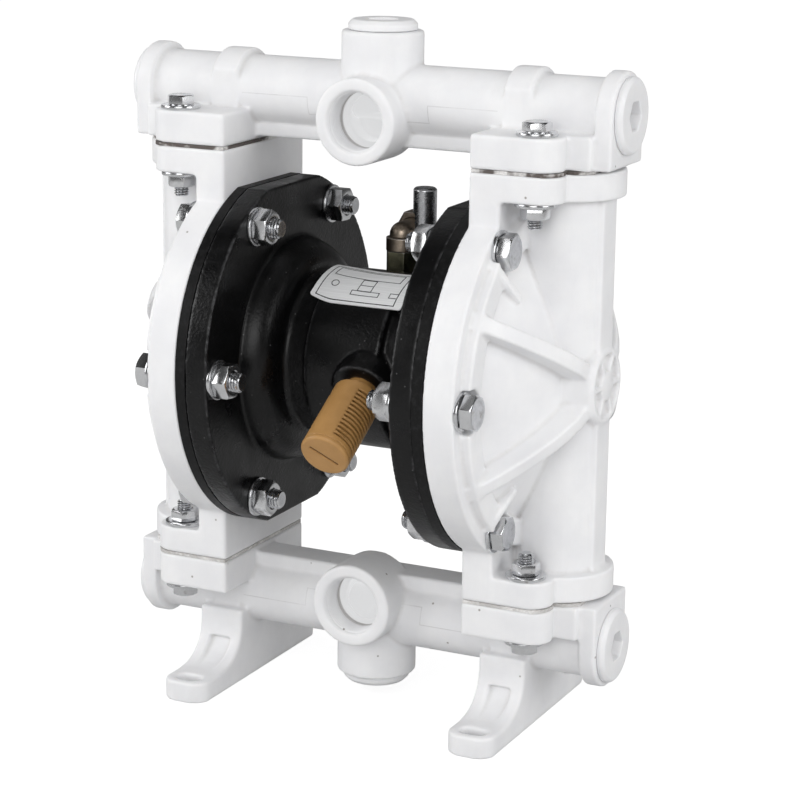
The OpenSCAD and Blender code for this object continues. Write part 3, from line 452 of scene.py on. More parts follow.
def plastic_finish(look):
    """White moulded plastic: cloudy tone, flow marks, specks, a mould line, painted shade in corners
    and in the ports, a painted glow deep in the ports, and a fine grain.
    """
    material, tree, shader = new_finish("white_moulded_plastic")
    where, colour, wear_and_painted_shade = place(tree), look.colour, edge_wear_and_crease_shade(tree)
    clouds = noise(tree, where, 55, 4, 0.55)
    tone = mix(tree, span(tree, clouds, 0.35, 0.68), tinted(colour, 0.93, 0.93, 0.94),
               tinted(colour, 1, 1, 1))
    flow = noise(tree, place(tree, (40, 40, 9)), 7, 3, 0.6)
    tone = mix(tree, span(tree, flow, 0.5, 0.75, 0, 0.25), tone, tinted(colour, 0.9, 0.9, 0.91))
    # Painted shade darkens corners, creases and thread roots; sharp edges turn a little lighter.
    tone = mix(tree, span(tree, wear_and_painted_shade, -0.12, -0.8, 0, 0.42), tone, tinted(colour, 0.6, 0.58, 0.55))
    tone = mix(tree, span(tree, wear_and_painted_shade, 0.2, 0.9, 0, 0.35), tone, grey(min(1, colour[0] * 1.05)))
    dirt = specks(tree, where, 260, look.specks, 0.16)
    tone = mix(tree, product(tree, dirt, 0.75), tone, (0.16, 0.13, 0.1, 1))
    x, y, z = axes(tree, where)
    x, rise = calc(tree, "ABSOLUTE", x), away(tree, z, AXIS * MM)
    faint = span(tree, noise(tree, where, 90, 3, 0.6), 0.35, 0.6, 0.08, 0.34)
    tone = mix(tree, product(tree, mould_line(tree, x, rise), faint), tone, (0.3, 0.29, 0.28, 1))
    shade, deep = port_parts(tree, x, y, rise)
    tone = mix(tree, product(tree, shade, 0.7), tone, (0.34, 0.32, 0.305, 1))
    tone = mix(tree, deep, tone, grey(0.12))
    patches = noise(tree, where, 120, 3, 0.6)
    wave = bumps(tree, noise(tree, where, 160, 2), 0.00025, 0.35)
    feed(tree, shader, {
        "Base Color": tone, "IOR": 1.47,
        "Roughness": span(tree, patches, 0.3, 0.7, look.roughness - 0.06, look.roughness + 0.08),
        "Emission Color": (0.985, 0.99, 1, 1), "Emission Strength": product(tree, deep, 0.6),
        "Subsurface Weight": 0.12, "Subsurface Scale": 1.0,
        "Subsurface Radius": (0.0022, 0.002, 0.0018),
        "Normal": bumps(tree, noise(tree, where, 1500, 4, 0.6), 0.00005, 0.6, wave),
    })
    return material


def casting_finish(look):
    """Black painted casting: a pebbly skin, stronger in cloudy patches and fainter between them, and
    rubbed edges.
    """
    material, tree, shader = new_finish("black_painted_casting")
    where, colour = place(tree), look.colour
    scuffs = noise(tree, where, 240, 4, 0.65)
    tone = mix(tree, span(tree, scuffs, 0.45, 0.7), tinted(colour, 1, 1, 1),
               tinted(colour, 1.8, 1.8, 1.85))
    rubbed = product(tree, span(tree, edge_wear_and_crease_shade(tree), 0.25, 0.8), span(tree, scuffs, 0.42, 0.62))
    tone = mix(tree, product(tree, rubbed, 0.55), tone, (0.10, 0.10, 0.105, 1))
    dust = specks(tree, where, 520, 0.05, 0.18)
    tone = mix(tree, product(tree, dust, 0.35), tone, grey(0.22))
    smudge = noise(tree, where, 90, 3)
    sand = span(tree, noise(tree, where, 30, 2), 0.38, 0.62, 0.25, 1.0)
    skin = bumps(tree, product(tree, noise(tree, where, 900, 2), sand), look.grain, 0.8)
    feed(tree, shader, {
        "Base Color": tone, "Specular IOR Level": 0.33,
        "Roughness": span(tree, smudge, 0.3, 0.7, look.roughness - 0.05, look.roughness + 0.1),
        "Normal": bumps(tree, noise(tree, where, 130, 3), 0.0003, 0.35, skin),
    })
    return material


def rubber_finish():
    """Black rubber of the clamped rims: dull, with a thin moulded ridge, and painted glints broken
    along it.
    """
    material, tree, shader = new_finish("black_rubber")
    where = place(tree)
    marks = noise(tree, where, 420, 4, 0.7)
    tone = mix(tree, span(tree, marks, 0.5, 0.72), (0.003, 0.003, 0.0032, 1), (0.014, 0.014, 0.015, 1))
    off = away(tree, calc(tree, "ABSOLUTE", axes(tree, where)[0]), RUBBER_LINE * MM)
    broken = span(tree, noise(tree, where, 640, 4, 0.75), 0.54, 0.6)
    # Painted glints: pale dashes along the moulded line, broken by noise.
    painted_glint = product(tree, span(tree, off, 0.00022, 0.00008), broken, 0.8)
    ridge = bumps(tree, span(tree, off, 0.0006, 0.0001), 0.0003, 0.9)
    feed(tree, shader, {
        "Base Color": mix(tree, painted_glint, tone, (0.34, 0.34, 0.33, 1)), "Specular IOR Level": 0.25,
        "Roughness": span(tree, marks, 0.3, 0.7, 0.4, 0.6),
        "Normal": bumps(tree, noise(tree, where, 900, 2), 0.0001, 0.5, ridge),
    })
    return material


def metal_finish(name, colour, roughness, grain=(2500, 2500, 2500), stain=None, stain_share=0.3,
                 tooth=0.00002):
    """Bare or plated metal: smudged roughness, tone patches, painted shade in creases, lighter worn
    edges, fine tooth, stains where asked.
    """
    material, tree, shader = new_finish(name)
    where, wear_and_painted_shade = place(tree), edge_wear_and_crease_shade(tree)
    smudge = noise(tree, where, 380, 4, 0.6)
    tone = mix(tree, span(tree, smudge, 0.35, 0.7), tinted(colour, 1, 1, 1),
               tinted(colour, 0.8, 0.8, 0.81))
    # Painted shade darkens creases, thread roots and the gaps under heads and nuts; worn edges turn
    # lighter.
    tone = mix(tree, span(tree, wear_and_painted_shade, -0.08, -0.5, 0, 0.85), tone, tinted(colour, 0.1, 0.09, 0.08))
    tone = mix(tree, span(tree, wear_and_painted_shade, 0.3, 0.9, 0, 0.5), tone, grey(0.88))
    if stain:
        blot = span(tree, noise(tree, where, 150, 5, 0.7), 0.62 - stain_share * 0.3, 0.72)
        tone = mix(tree, product(tree, blot, 0.8), tone, tinted(stain, 1, 1, 1))
    feed(tree, shader, {
        "Base Color": tone, "Metallic": 1.0,
        "Roughness": span(tree, smudge, 0.3, 0.7, roughness * 0.75, roughness * 1.35),
        "Normal": bumps(tree, noise(tree, place(tree, grain), 1, 3, 0.6), tooth, 0.7),
    })
    return material


def muffler_finish(look):
    """Tan moulded muffler: satin, with painted shade between the fins, and tiny pits."""
    material, tree, shader = new_finish("tan_muffler")
    where, colour = place(tree), look.colour
    clouds = noise(tree, where, 160, 4, 0.6)
    tone = mix(tree, span(tree, clouds, 0.35, 0.68), tinted(colour, 0.9, 0.88, 0.82),
               tinted(colour, 1, 1, 1))
    # Painted shade between the fins, darker in the deeper creases.
    tone = mix(tree, span(tree, edge_wear_and_crease_shade(tree), -0.05, -0.6, 0, 0.75), tone,
               tinted(colour, 0.22, 0.17, 0.12))
    feed(tree, shader, {
        "Base Color": tone, "Roughness": 0.42,
        "Normal": bumps(tree, noise(tree, where, 1700, 3), 0.00004, 0.6),
    })
    return material


def gasket_finish():
    """Thin pale gasket with dark brown blots, more of them at the upper joints."""
    material, tree, shader = new_finish("blotched_gasket")
    where = place(tree)
    weave = noise(tree, place(tree, (900, 900, 2500)), 1, 3, 0.6)
    tone = mix(tree, span(tree, weave, 0.4, 0.62), (0.66, 0.64, 0.62, 1), (0.82, 0.81, 0.8, 1))
    share = span(tree, axes(tree, where)[2], 0.1, 0.2, 0.3, 0.92)
    blots = span(tree, noise(tree, where, 55, 4, 0.65), 0.42, 0.52)
    feed(tree, shader, {
        "Base Color": mix(tree, product(tree, share, blots), tone, (0.055, 0.038, 0.03, 1)),
        "Roughness": 0.8,
        "Normal": bumps(tree, noise(tree, where, 2200, 2), 0.0001, 0.8),
    })
    return material


def plate_finish(look):
    """Brushed foil plate with a printed frame, empty boxes and a ring, and no words."""
    material, tree, shader = new_finish("silver_foil_plate")
    uv = add(tree, "ShaderNodeUVMap", {"uv_map": "plate"}).outputs[0]
    u, v, _ = axes(tree, uv)
    middle, radius, line = PLATE_RING
    off = away(tree, length(tree, calc(tree, "SUBTRACT", u, middle[0]),
                            calc(tree, "SUBTRACT", v, middle[1])), radius)
    ink = calc(tree, "LESS_THAN", off, line)
    for middle, half, line in PLATE_BOXES:
        du = calc(tree, "SUBTRACT", away(tree, u, middle[0]), half[0])
        dv = calc(tree, "SUBTRACT", away(tree, v, middle[1]), half[1])
        off = calc(tree, "ABSOLUTE", calc(tree, "MAXIMUM", du, dv))
        ink = calc(tree, "MAXIMUM", ink, calc(tree, "LESS_THAN", off, line))
    ink = product(tree, ink, span(tree, noise(tree, place(tree), 900, 3), 0.3, 0.5, 0.75, 1.0))
    grain = noise(tree, place(tree, (60, 2600, 2600)), 1, 2)
    foil = mix(tree, span(tree, grain, 0.3, 0.7), (0.8, 0.805, 0.81, 1), (0.93, 0.935, 0.94, 1))
    feed(tree, shader, {
        "Base Color": mix(tree, ink, foil, (0.02, 0.02, 0.022, 1)), "Roughness": look.roughness,
        "Metallic": product(tree, calc(tree, "SUBTRACT", 1.0, ink), 0.12),
        "Normal": bumps(tree, grain, 0.00003, 0.5),
    })
    return material


def floor_finish():
    """Pale floor: nearly white to the camera, with the object's shadow kept."""
    material, tree, _ = new_finish("pale_floor")
    tree.nodes.clear()
    path = add(tree, "ShaderNodeLightPath")
    plain = add(tree, "ShaderNodeBsdfDiffuse", Color=grey(0.58))
    shaded = add(tree, "ShaderNodeBsdfDiffuse", Color=grey(0.3))
    glow = add(tree, "ShaderNodeEmission", Color=grey(1), Strength=0.86)
    lit = add(tree, "ShaderNodeAddShader", i0=shaded.outputs[0], i1=glow.outputs[0])
    mixed = add(tree, "ShaderNodeMixShader", i0=path.outputs["Is Camera Ray"],
                i1=plain.outputs[0], i2=lit.outputs[0])
    add(tree, "ShaderNodeOutputMaterial", Surface=mixed.outputs[0])
    return material


def studio():
    """World of the studio: white to the camera, even light on surfaces, and dim in reflections."""
    world = bpy.data.worlds.new("studio")
    world.use_nodes = True
    tree = world.node_tree
    tree.nodes.clear()
    path = add(tree, "ShaderNodeLightPath")
    seen = calc(tree, "MAXIMUM", path.outputs["Is Camera Ray"], path.outputs["Is Transmission Ray"])
    up = axes(tree, add(tree, "ShaderNodeTexCoord").outputs["Generated"])[2]
    shiny = path.outputs["Is Glossy Ray"]
    even = product(tree, calc(tree, "SUBTRACT", 1.0, shiny), span(tree, up, 0.2, 0.95, 0.8, 0.45))
    dim = product(tree, shiny, span(tree, up, 0.1, 0.8, 0.12, 0.03))
    soft = add(tree, "ShaderNodeBackground", Color=grey(1), Strength=calc(tree, "ADD", dim, even))
    white = add(tree, "ShaderNodeBackground", Color=grey(1), Strength=1.0)
    mixed = add(tree, "ShaderNodeMixShader", i0=seen, i1=soft.outputs[0], i2=white.outputs[0])
    add(tree, "ShaderNodeOutputWorld", Surface=mixed.outputs[0])
    return world


# Sizes and colours that a user may change

class PlasticLook(bpy.types.PropertyGroup):
    """White moulded plastic of the liquid side."""

    colour: FloatVectorProperty(
        name="Colour", description="Colour of the moulded plastic", subtype="COLOR", size=4,
        min=0, max=1, default=(0.86, 0.86, 0.866, 1))
    roughness: FloatProperty(
        name="Roughness", description="How dull the moulded skin is", subtype="FACTOR",
        min=0, max=1, default=0.42)
    specks: FloatProperty(
        name="Specks", description="Share of cells that hold a dark speck", subtype="FACTOR",
        min=0, max=1, default=0.02)
    grid: FloatProperty(
        name="Edge grid", description="Size of the grid that rounds the moulded edges",
        unit="LENGTH", min=0.0004, max=0.002, default=0.00068)


class CastingLook(bpy.types.PropertyGroup):
    """Black painted casting of the centre body."""

    colour: FloatVectorProperty(
        name="Colour", description="Colour of the paint", subtype="COLOR", size=4,
        min=0, max=1, default=(0.0022, 0.0022, 0.0024, 1))
    roughness: FloatProperty(
        name="Roughness", description="How dull the paint is", subtype="FACTOR",
        min=0, max=1, default=0.3)
    grain: FloatProperty(
        name="Grain", description="Height of the pebbled skin", unit="LENGTH",
        min=0, max=0.001, default=0.0002)


class ThreadSizes(bpy.types.PropertyGroup):
    """Sizes of the bolts, nuts and threads."""

    large_pitch: FloatProperty(
        name="Chamber pitch", description="Thread pitch of the chamber bolts", unit="LENGTH",
        default=0.00125)
    small_pitch: FloatProperty(
        name="Pipe pitch", description="Thread pitch of the pipe joint bolts", unit="LENGTH",
        default=0.001)
    port_pitch: FloatProperty(
        name="Port pitch", description="Thread pitch of the liquid ports", unit="LENGTH",
        default=0.0013)
    turn_seed: IntProperty(
        name="Turn seed", description="Seed of the angles that the bolts were left at", default=4)


class MufflerLook(bpy.types.PropertyGroup):
    """Tan muffler on the exhaust."""

    colour: FloatVectorProperty(
        name="Colour", description="Colour of the muffler", subtype="COLOR", size=4,
        min=0, max=1, default=(0.46, 0.25, 0.085, 1))


class PlateLook(bpy.types.PropertyGroup):
    """Foil plate on the waist."""

    roughness: FloatProperty(
        name="Roughness", description="How dull the foil is", subtype="FACTOR",
        min=0, max=1, default=0.5)
    half_width: FloatProperty(
        name="Half width", description="Half width of the plate", unit="LENGTH", default=0.021)
    lift: FloatProperty(
        name="Lift", description="How far the loose corner stands off", unit="LENGTH",
        default=0.0005)


class StageSettings(bpy.types.PropertyGroup):
    """Camera, floor and lamps."""

    azimuth: FloatProperty(
        name="Azimuth", description="Angle of the camera from the front", subtype="ANGLE",
        default=math.radians(25.754))
    elevation: FloatProperty(
        name="Elevation", description="Angle of the camera above the floor", subtype="ANGLE",
        default=math.radians(14.11))
    roll: FloatProperty(
        name="Roll", description="Tilt of the camera", subtype="ANGLE",
        default=math.radians(0.725))
    distance: FloatProperty(
        name="Distance", description="Distance of the camera", unit="LENGTH", default=1.00685)
    lens: FloatProperty(
        name="Lens", description="Focal length of the camera in millimetres",
        default=FOCAL / PICTURE * SENSOR)
    lamp_strength: FloatProperty(
        name="Lamp strength", description="Brightness of the soft lamps", min=0, default=1.0)


# Bolts, nuts, washers and threads

def hex_radius(flats, columns):
    """Distance from the middle to a hexagon's edge: half the flats over the cosine to that side."""
    a = np.linspace(0, 2 * np.pi, columns, endpoint=False)
    return flats / 2 / np.cos((a + np.pi / 6) % (np.pi / 3) - np.pi / 6)


def hex_head(flats, height, columns=72):
    """A bolt head: a hexagon cut by a cone at its top, with a slightly hollow end."""
    corner, top = hex_radius(flats, columns), HEX_TOP * flats
    shoulder = height - np.maximum(corner - top, 0) * HEX_SLOPE
    neck, gap, hollow = flats * 0.45, 0.4, height - 0.16
    rings = [(0, 0), (neck, 0), (neck, gap), (corner - 0.12, gap), (corner, gap + 0.12),
             (corner, shoulder - 0.08), (corner - HEX_EDGE, shoulder), (top, height - 0.03),
             (top * 0.97, height), (top * 0.8, height - 0.12), (top * 0.4, hollow), (0, hollow)]
    return grid(turned(rings, columns))


def hex_nut(flats, hole, height, columns=72):
    """A nut: a hexagon with both ends cut by cones, and a chamfered hole."""
    corner, top, bevel = hex_radius(flats, columns), HEX_TOP * flats, 0.6
    drop = np.maximum(corner - top, 0) * HEX_SLOPE
    rings = [(hole, bevel), (hole + bevel, 0), (top, 0), (corner - HEX_EDGE, drop),
             (corner, drop + 0.08), (corner, height - drop - 0.08),
             (corner - HEX_EDGE, height - drop), (top, height), (hole + bevel, height),
             (hole, height - bevel)]
    return grid(turned(rings, columns), closed=True)


def threaded_shank(radius, long, threaded, pitch, columns=40):
    """A shank along -Z from zero: plain, then a screw surface r = R - depth * ridge(z/p - a/2pi)."""
    depth = pitch * 0.58
    a = np.linspace(0, 2 * np.pi, columns, endpoint=False)[None, :]
    z = -np.linspace(long - threaded, long, int(threaded / pitch * 9))[:, None]
    phase = (z / pitch - a / (2 * np.pi)) % 1.0
    ridge = np.clip(np.abs(phase * 2 - 1) * 1.5 - 0.25, 0, 1)
    end = np.clip((long + z) + radius - depth * 1.1, 0, radius)
    start = np.clip((-(long - threaded) - z) * 2, 0, 1)
    r = np.minimum(radius - depth * ridge * start, end)
    rings = [(0, 0), (radius - 0.05, 0), *zip(r, z), (0.6 * r[-1], -long), (0, -long)]
    return grid(turned(rings, columns))


def bolt_and_nut(size, flats, grip, threaded, pitch):
    """A bolt through a grip and two washers, and its nut."""
    nut = NUT_SHARE * size
    shank = threaded_shank(size / 2, grip + 2 * WASHER + nut + BOLT_END, threaded, pitch)
    return joined([hex_head(flats, HEAD_SHARE * size), shank]), hex_nut(flats, size / 2 + 0.05, nut)


def washer_ring(hole, columns=56):
    """A stamped washer with rolled edges, as one closed ring of points."""
    roll, radius, top = 0.28, WASHER_RADIUS, WASHER
    rings = [(hole, roll * 0.6), (hole + roll, 0), (radius - roll, 0),
             (radius - roll * 0.3, roll * 0.25), (radius, roll), (radius, top - roll),
             (radius - roll * 0.3, top - roll * 0.25), (radius - roll, top), (hole + roll, top),
             (hole, top - roll * 0.6)]
    return grid(turned(rings, columns), closed=True)


def bored_thread(bore, wall, long, pitch, depth, columns=96):
    """A sleeve whose inner side is a screw surface, r = bore - depth * ridge, faded at both ends."""
    a = np.linspace(0, 2 * np.pi, columns, endpoint=False)[None, :]
    z = np.linspace(0, long, int(long / pitch * 8))[:, None]
    phase = (z / pitch - a / (2 * np.pi)) % 1.0
    ridge = np.clip(1.4 * np.abs(phase * 2 - 1) - 0.2, 0, 1)
    fade = np.clip(z / pitch, 0, 1) * np.clip((long - z) / pitch, 0, 1)
    rings = [*zip(bore - depth * ridge * fade, z), (wall, long), (wall, 0)]
    return grid(turned(rings, columns), closed=True)


def mouth(name, inset=0):
    """A matrix that puts Z into a mount's hole along Y, from an inset past its mouth."""
    mount = MOUNTS[name]
    x, y, z = (value / MM for value in mount["pos_m"])
    out = mount["axis"][1]
    start = y + out * (mount["dims"]["length_mm"] / 2 - inset)
    return Matrix.Translation((x, start, z)) @ Matrix.Rotation(out * math.pi / 2, 4, "X")


def chamber_bolt_places(side, seat, pointing):
    """Matrices that put Z along X at the six chamber bolts, at a distance from the middle."""
    rng = np.random.default_rng([bpy.context.scene.pump_threads.turn_seed, side + 1, pointing + 1])
    turns = rng.uniform(0, math.pi / 3, len(BOLT_ANGLES))
    places = []
    for angle, turn in zip(np.radians(BOLT_ANGLES), turns):
        middle = (side * seat, -BOLT_RING * math.cos(angle), AXIS + BOLT_RING * math.sin(angle))
        out = Matrix.Rotation(side * pointing * math.pi / 2, 4, "Y")
        places.append(Matrix.Translation(middle) @ out @ Matrix.Rotation(turn, 4, "Z"))
    return places


def pipe_bolt_places(way, seat, pointing):
    """Matrices that put Z along the pipe bolts at one level, at a height from the axis."""
    rng = np.random.default_rng([bpy.context.scene.pump_threads.turn_seed, way + 5, pointing + 1])
    flip = Matrix.Rotation(0 if way * pointing > 0 else math.pi, 4, "X")
    places = []
    for side in (-1, 1):
        for s in (-1, 1):
            middle = (side * PIPE_BOLT_X, s * PIPE_BOLT_Y, AXIS + way * seat)
            places.append(Matrix.Translation(middle) @ flip
                          @ Matrix.Rotation(rng.uniform(0, math.pi / 3), 4, "Z"))
    return places


def fasteners(name, surface, places, zinc, node):
    """One piece of like bolts, nuts or washers, in place of a CAD piece."""
    new_piece(name, joined([placed(surface, pose) for pose in places]), zinc, "root", (node,))


# Foil plate

def plate_edges(along):
    """Lower and upper edge of the foil round the waist, and how loose it is, at places along it.

    Towards the left end the lower edge turns up with the looseness to the power 1.5, and the
    upper edge rises with the tapered share to the power 1.2.
    """
    loose = np.clip(1 - along / PLATE_LOOSE, 0, 1)
    taper = np.clip(1 - along / PLATE_TAPER, 0, 1)
    return PLATE_FOOT + PLATE_TURN * loose ** 1.5, PLATE_HEAD + PLATE_RISE * taper ** 1.2, loose


def foil(half, lift):
    """The foil's surface and each point's place on it, from its half width and its corner's lift.

    It is a sheet on a cylinder round the pump's axis: x along it, and an angle that grows from
    the lower to the upper edge. Its ends are cut by quarter circles at the corners, and the loose
    corner stands off with the square of the distance to it.
    """
    first, last = PLATE_START, 2 * half
    along = np.concatenate([np.linspace(first, first + PLATE_CORNER, 8)[:-1],
                            np.linspace(first + PLATE_CORNER, last - PLATE_CORNER, 48),
                            np.linspace(last - PLATE_CORNER, last, 8)[1:]])[:, None]
    cut = np.maximum(PLATE_CORNER - np.minimum(along - first, last - along), 0)
    inset = PLATE_CORNER - np.sqrt(np.maximum(PLATE_CORNER ** 2 - cut ** 2, 0))
    v = inset + (PLATE_TALL - 2 * inset) * np.linspace(0, 1, 48)[None, :]
    bottom, top, loose = plate_edges(along)
    angle = math.radians(PLATE_LOW) + (bottom + (top - bottom) * v / PLATE_TALL) / (WAIST + 0.3)
    stand = lift * loose * np.clip(1 - v / 5, 0, 1) ** 2
    outer, inner = (np.stack([np.broadcast_to(along - half, v.shape),
                              -(WAIST + skin + stand) * np.cos(angle),
                              AXIS + (WAIST + skin + stand) * np.sin(angle)], axis=-1)
                    for skin in PLATE_SKINS)
    loop = np.concatenate([outer, inner[:, ::-1]], axis=1)
    uv = np.stack([np.broadcast_to(along, v.shape), v], axis=-1)
    uv = np.concatenate([uv, uv[:, ::-1]], axis=1)
    ends = [0.5 * (loop[i] + loop[i][::-1])[None] for i in (0, -1)]
    loop = np.concatenate([ends[0], loop, ends[1]])
    uv = np.concatenate([uv[:1], uv, uv[-1:]])
    return grid(loop), uv.reshape(-1, 2)


# Camera and lamps

def direction(azimuth, height):
    """Unit vector away from the pump: angles from the front and above the floor."""
    return np.array([math.sin(azimuth) * math.cos(height), -math.cos(azimuth) * math.cos(height),
                     math.sin(height)])


def standing(right, above, back, spot):
    """A matrix with its X, Y and Z axes along three vectors, at a spot."""
    matrix = np.eye(4)
    matrix[:3] = np.stack([right, above, back, spot], axis=1)
    return Matrix(matrix)


# Operators, one for each piece or group of like pieces

class PUMP_OT_moulded_parts(bpy.types.Operator):
    """Rounds the moulded chambers, manifolds and plugs and gives them their plastic"""

    bl_idname = "pump.moulded_parts"
    bl_label = "Moulded parts"

    def execute(self, context):
        look = context.scene.pump_plastic
        plastic = plastic_finish(look)
        for node in ("discharge_manifold", "suction_manifold",
                     "liquid_chamber_left", "liquid_chamber_right"):
            rounded_copy(node, "moulded_" + node, plastic, look.grid, passes=9)
        for node in ("top_plug", "bottom_plug", "end_plug_top_left", "end_plug_top_right",
                     "end_plug_bottom_left", "end_plug_bottom_right"):
            rounded_copy(node, "moulded_" + node, plastic, 0.00042, passes=6)
        return {"FINISHED"}


class PUMP_OT_port_threads(bpy.types.Operator):
    """Cuts the pipe threads that show in the two liquid ports"""

    bl_idname = "pump.port_threads"
    bl_label = "Port threads"

    def execute(self, context):
        plastic = bpy.data.materials["white_moulded_plastic"]
        pitch = context.scene.pump_threads.port_pitch / MM
        sleeve = bored_thread(bore=12.1, wall=12.5, long=13.5, pitch=pitch, depth=0.8)
        for name in ("discharge_port", "suction_port"):
            new_piece(name + "_thread", placed(sleeve, mouth(name, inset=0.8)), plastic, "root")
        return {"FINISHED"}


class PUMP_OT_casting(bpy.types.Operator):
    """Rounds the cast centre body and paints it black"""

    bl_idname = "pump.casting"
    bl_label = "Centre casting"

    def execute(self, context):
        rounded_copy("center_body", "cast_center_body", casting_finish(context.scene.pump_casting),
                     0.00072, passes=5)
        return {"FINISHED"}


class PUMP_OT_fasteners(bpy.types.Operator):
    """Makes the bolts, nuts and washers with their chamfers and threads"""

    bl_idname = "pump.fasteners"
    bl_label = "Bolts, nuts and washers"

    def execute(self, context):
        sizes = context.scene.pump_threads
        zinc = metal_finish("bright_zinc", (0.66, 0.67, 0.69), 0.2, stain=(0.25, 0.23, 0.2),
                            stain_share=0.1)
        bolt, nut = bolt_and_nut(size=8, flats=CHAMBER_FLATS, grip=COVER_SEAT - BODY_SEAT,
                                 threaded=11.5, pitch=sizes.large_pitch / MM)
        for name, side in SIDES.items():
            fasteners("threaded_chamber_bolts_" + name, bolt,
                      chamber_bolt_places(side, COVER_SEAT + WASHER, 1), zinc, "chamber_bolts_" + name)
            fasteners("chamfered_chamber_nuts_" + name, nut,
                      chamber_bolt_places(side, BODY_SEAT - WASHER, -1), zinc, "chamber_nuts_" + name)
        bolt, nut = bolt_and_nut(size=6, flats=PIPE_FLATS, grip=PIPE_HEAD_SEAT - PIPE_NUT_SEAT,
                                 threaded=9.5, pitch=sizes.small_pitch / MM)
        for name, way in LEVELS.items():
            fasteners("threaded_pipe_bolts_" + name, bolt,
                      pipe_bolt_places(way, PIPE_HEAD_SEAT + WASHER, 1), zinc, "manifold_bolts_" + name)
            fasteners("chamfered_pipe_nuts_" + name, nut,
                      pipe_bolt_places(way, PIPE_NUT_SEAT - WASHER, -1), zinc, "manifold_nuts_" + name)
        places = [pose for side in (-1, 1) for pose in
                  chamber_bolt_places(side, COVER_SEAT, 1) + chamber_bolt_places(side, BODY_SEAT, -1)]
        fasteners("stamped_chamber_washers", washer_ring(hole=4.3), places, zinc, "chamber_washers")
        places = [pose for way in (-1, 1) for pose in
                  pipe_bolt_places(way, PIPE_HEAD_SEAT, 1) + pipe_bolt_places(way, PIPE_NUT_SEAT, -1)]
        fasteners("stamped_pipe_washers", washer_ring(hole=3.3), places, zinc, "manifold_washers")
        return {"FINISHED"}


class PUMP_OT_muffler(bpy.types.Operator):
    """Rounds the muffler and its cap and gives them their tan finish"""

    bl_idname = "pump.muffler"
    bl_label = "Muffler"

    def execute(self, context):
        tan = muffler_finish(context.scene.pump_muffler)
        for node, voxel in (("muffler_body", 0.00028), ("muffler_cap", 0.00026)):
            rounded_copy(node, "slotted_" + node, tan, voxel, passes=3)
        return {"FINISHED"}


class PUMP_OT_air_inlet(bpy.types.Operator):
    """Rounds the brass fittings and the lever of the air inlet"""

    bl_idname = "pump.air_inlet"
    bl_label = "Air inlet"

    def execute(self, context):
        hex_brass = metal_finish("green_brass", (0.30, 0.29, 0.19), 0.36,
                                 stain=(0.08, 0.08, 0.06), stain_share=0.5)
        ring_brass = metal_finish("brown_brass", (0.40, 0.33, 0.26), 0.36,
                                  stain=(0.10, 0.08, 0.06), stain_share=0.4)
        steel = metal_finish("turned_steel", (0.58, 0.585, 0.6), 0.24, grain=(500, 500, 9000),
                             tooth=0.00003)
        for node, finish, slot, voxel, passes in (
                ("inlet_nipple", hex_brass, "brass", 0.00026, 3),
                ("inlet_valve_body", ring_brass, "brass", 0.00028, 3),
                ("inlet_lever", steel, "turned_steel", 0.00028, 3),
                ("lever_screw", steel, "turned_steel", 0.00018, 2),
                ("inlet_valve_ball", steel, "turned_steel", 0.00022, 2)):
            rounded_copy(node, "rounded_" + node, finish, voxel, passes)
        thread = bored_thread(bore=5.8, wall=6.05, long=6.6, pitch=1.2, depth=0.45, columns=64)
        new_piece("air_inlet_thread", placed(thread, mouth("air_inlet")), ring_brass, "root")
        return {"FINISHED"}


class PUMP_OT_nameplate(bpy.types.Operator):
    """Bends the foil plate over the waist, with its corners rounded"""

    bl_idname = "pump.nameplate"
    bl_label = "Foil plate"

    def execute(self, context):
        look = context.scene.pump_plate
        surface, uv = foil(look.half_width / MM, look.lift / MM)
        new_piece("printed_nameplate", surface, plate_finish(look), "root",
                  ("nameplate",), uv)
        return {"FINISHED"}


class PUMP_OT_other_pieces(bpy.types.Operator):
    """Gives the rims, gaskets and hidden pieces their finishes"""

    bl_idname = "pump.other_pieces"
    bl_label = "Rims, gaskets and inner pieces"

    def execute(self, context):
        steel = metal_finish("ground_steel", (0.6, 0.605, 0.62), 0.18, grain=(9000, 700, 700))
        aluminium = metal_finish("machined_aluminium", (0.7, 0.71, 0.72), 0.32,
                                 grain=(9000, 900, 900))
        kinds = (
            (rubber_finish(), ("diaphragm", "shaft_seal", "suction_ball", "discharge_ball",
                               "valve_cap")),
            (gasket_finish(), ("suction_gasket", "discharge_gasket")),
            (metal_finish("bushing_bronze", (0.5, 0.33, 0.16), 0.35), ("shaft_bushing",)),
            (aluminium, ("outer_plate", "inner_plate")),
            (steel, ("suction_seat", "discharge_seat", "diaphragm_shaft", "valve_sleeve",
                     "valve_spool", "pilot_pin")),
        )
        finishes = {kind: finish for finish, names in kinds for kind in names}
        for name, solid in frame["nodes"].items():
            finish = finishes.get(name) or finishes.get(name.rsplit("_", 1)[0])
            if finish:
                solid.data.materials.clear()
                solid.data.materials.append(finish)
        return {"FINISHED"}


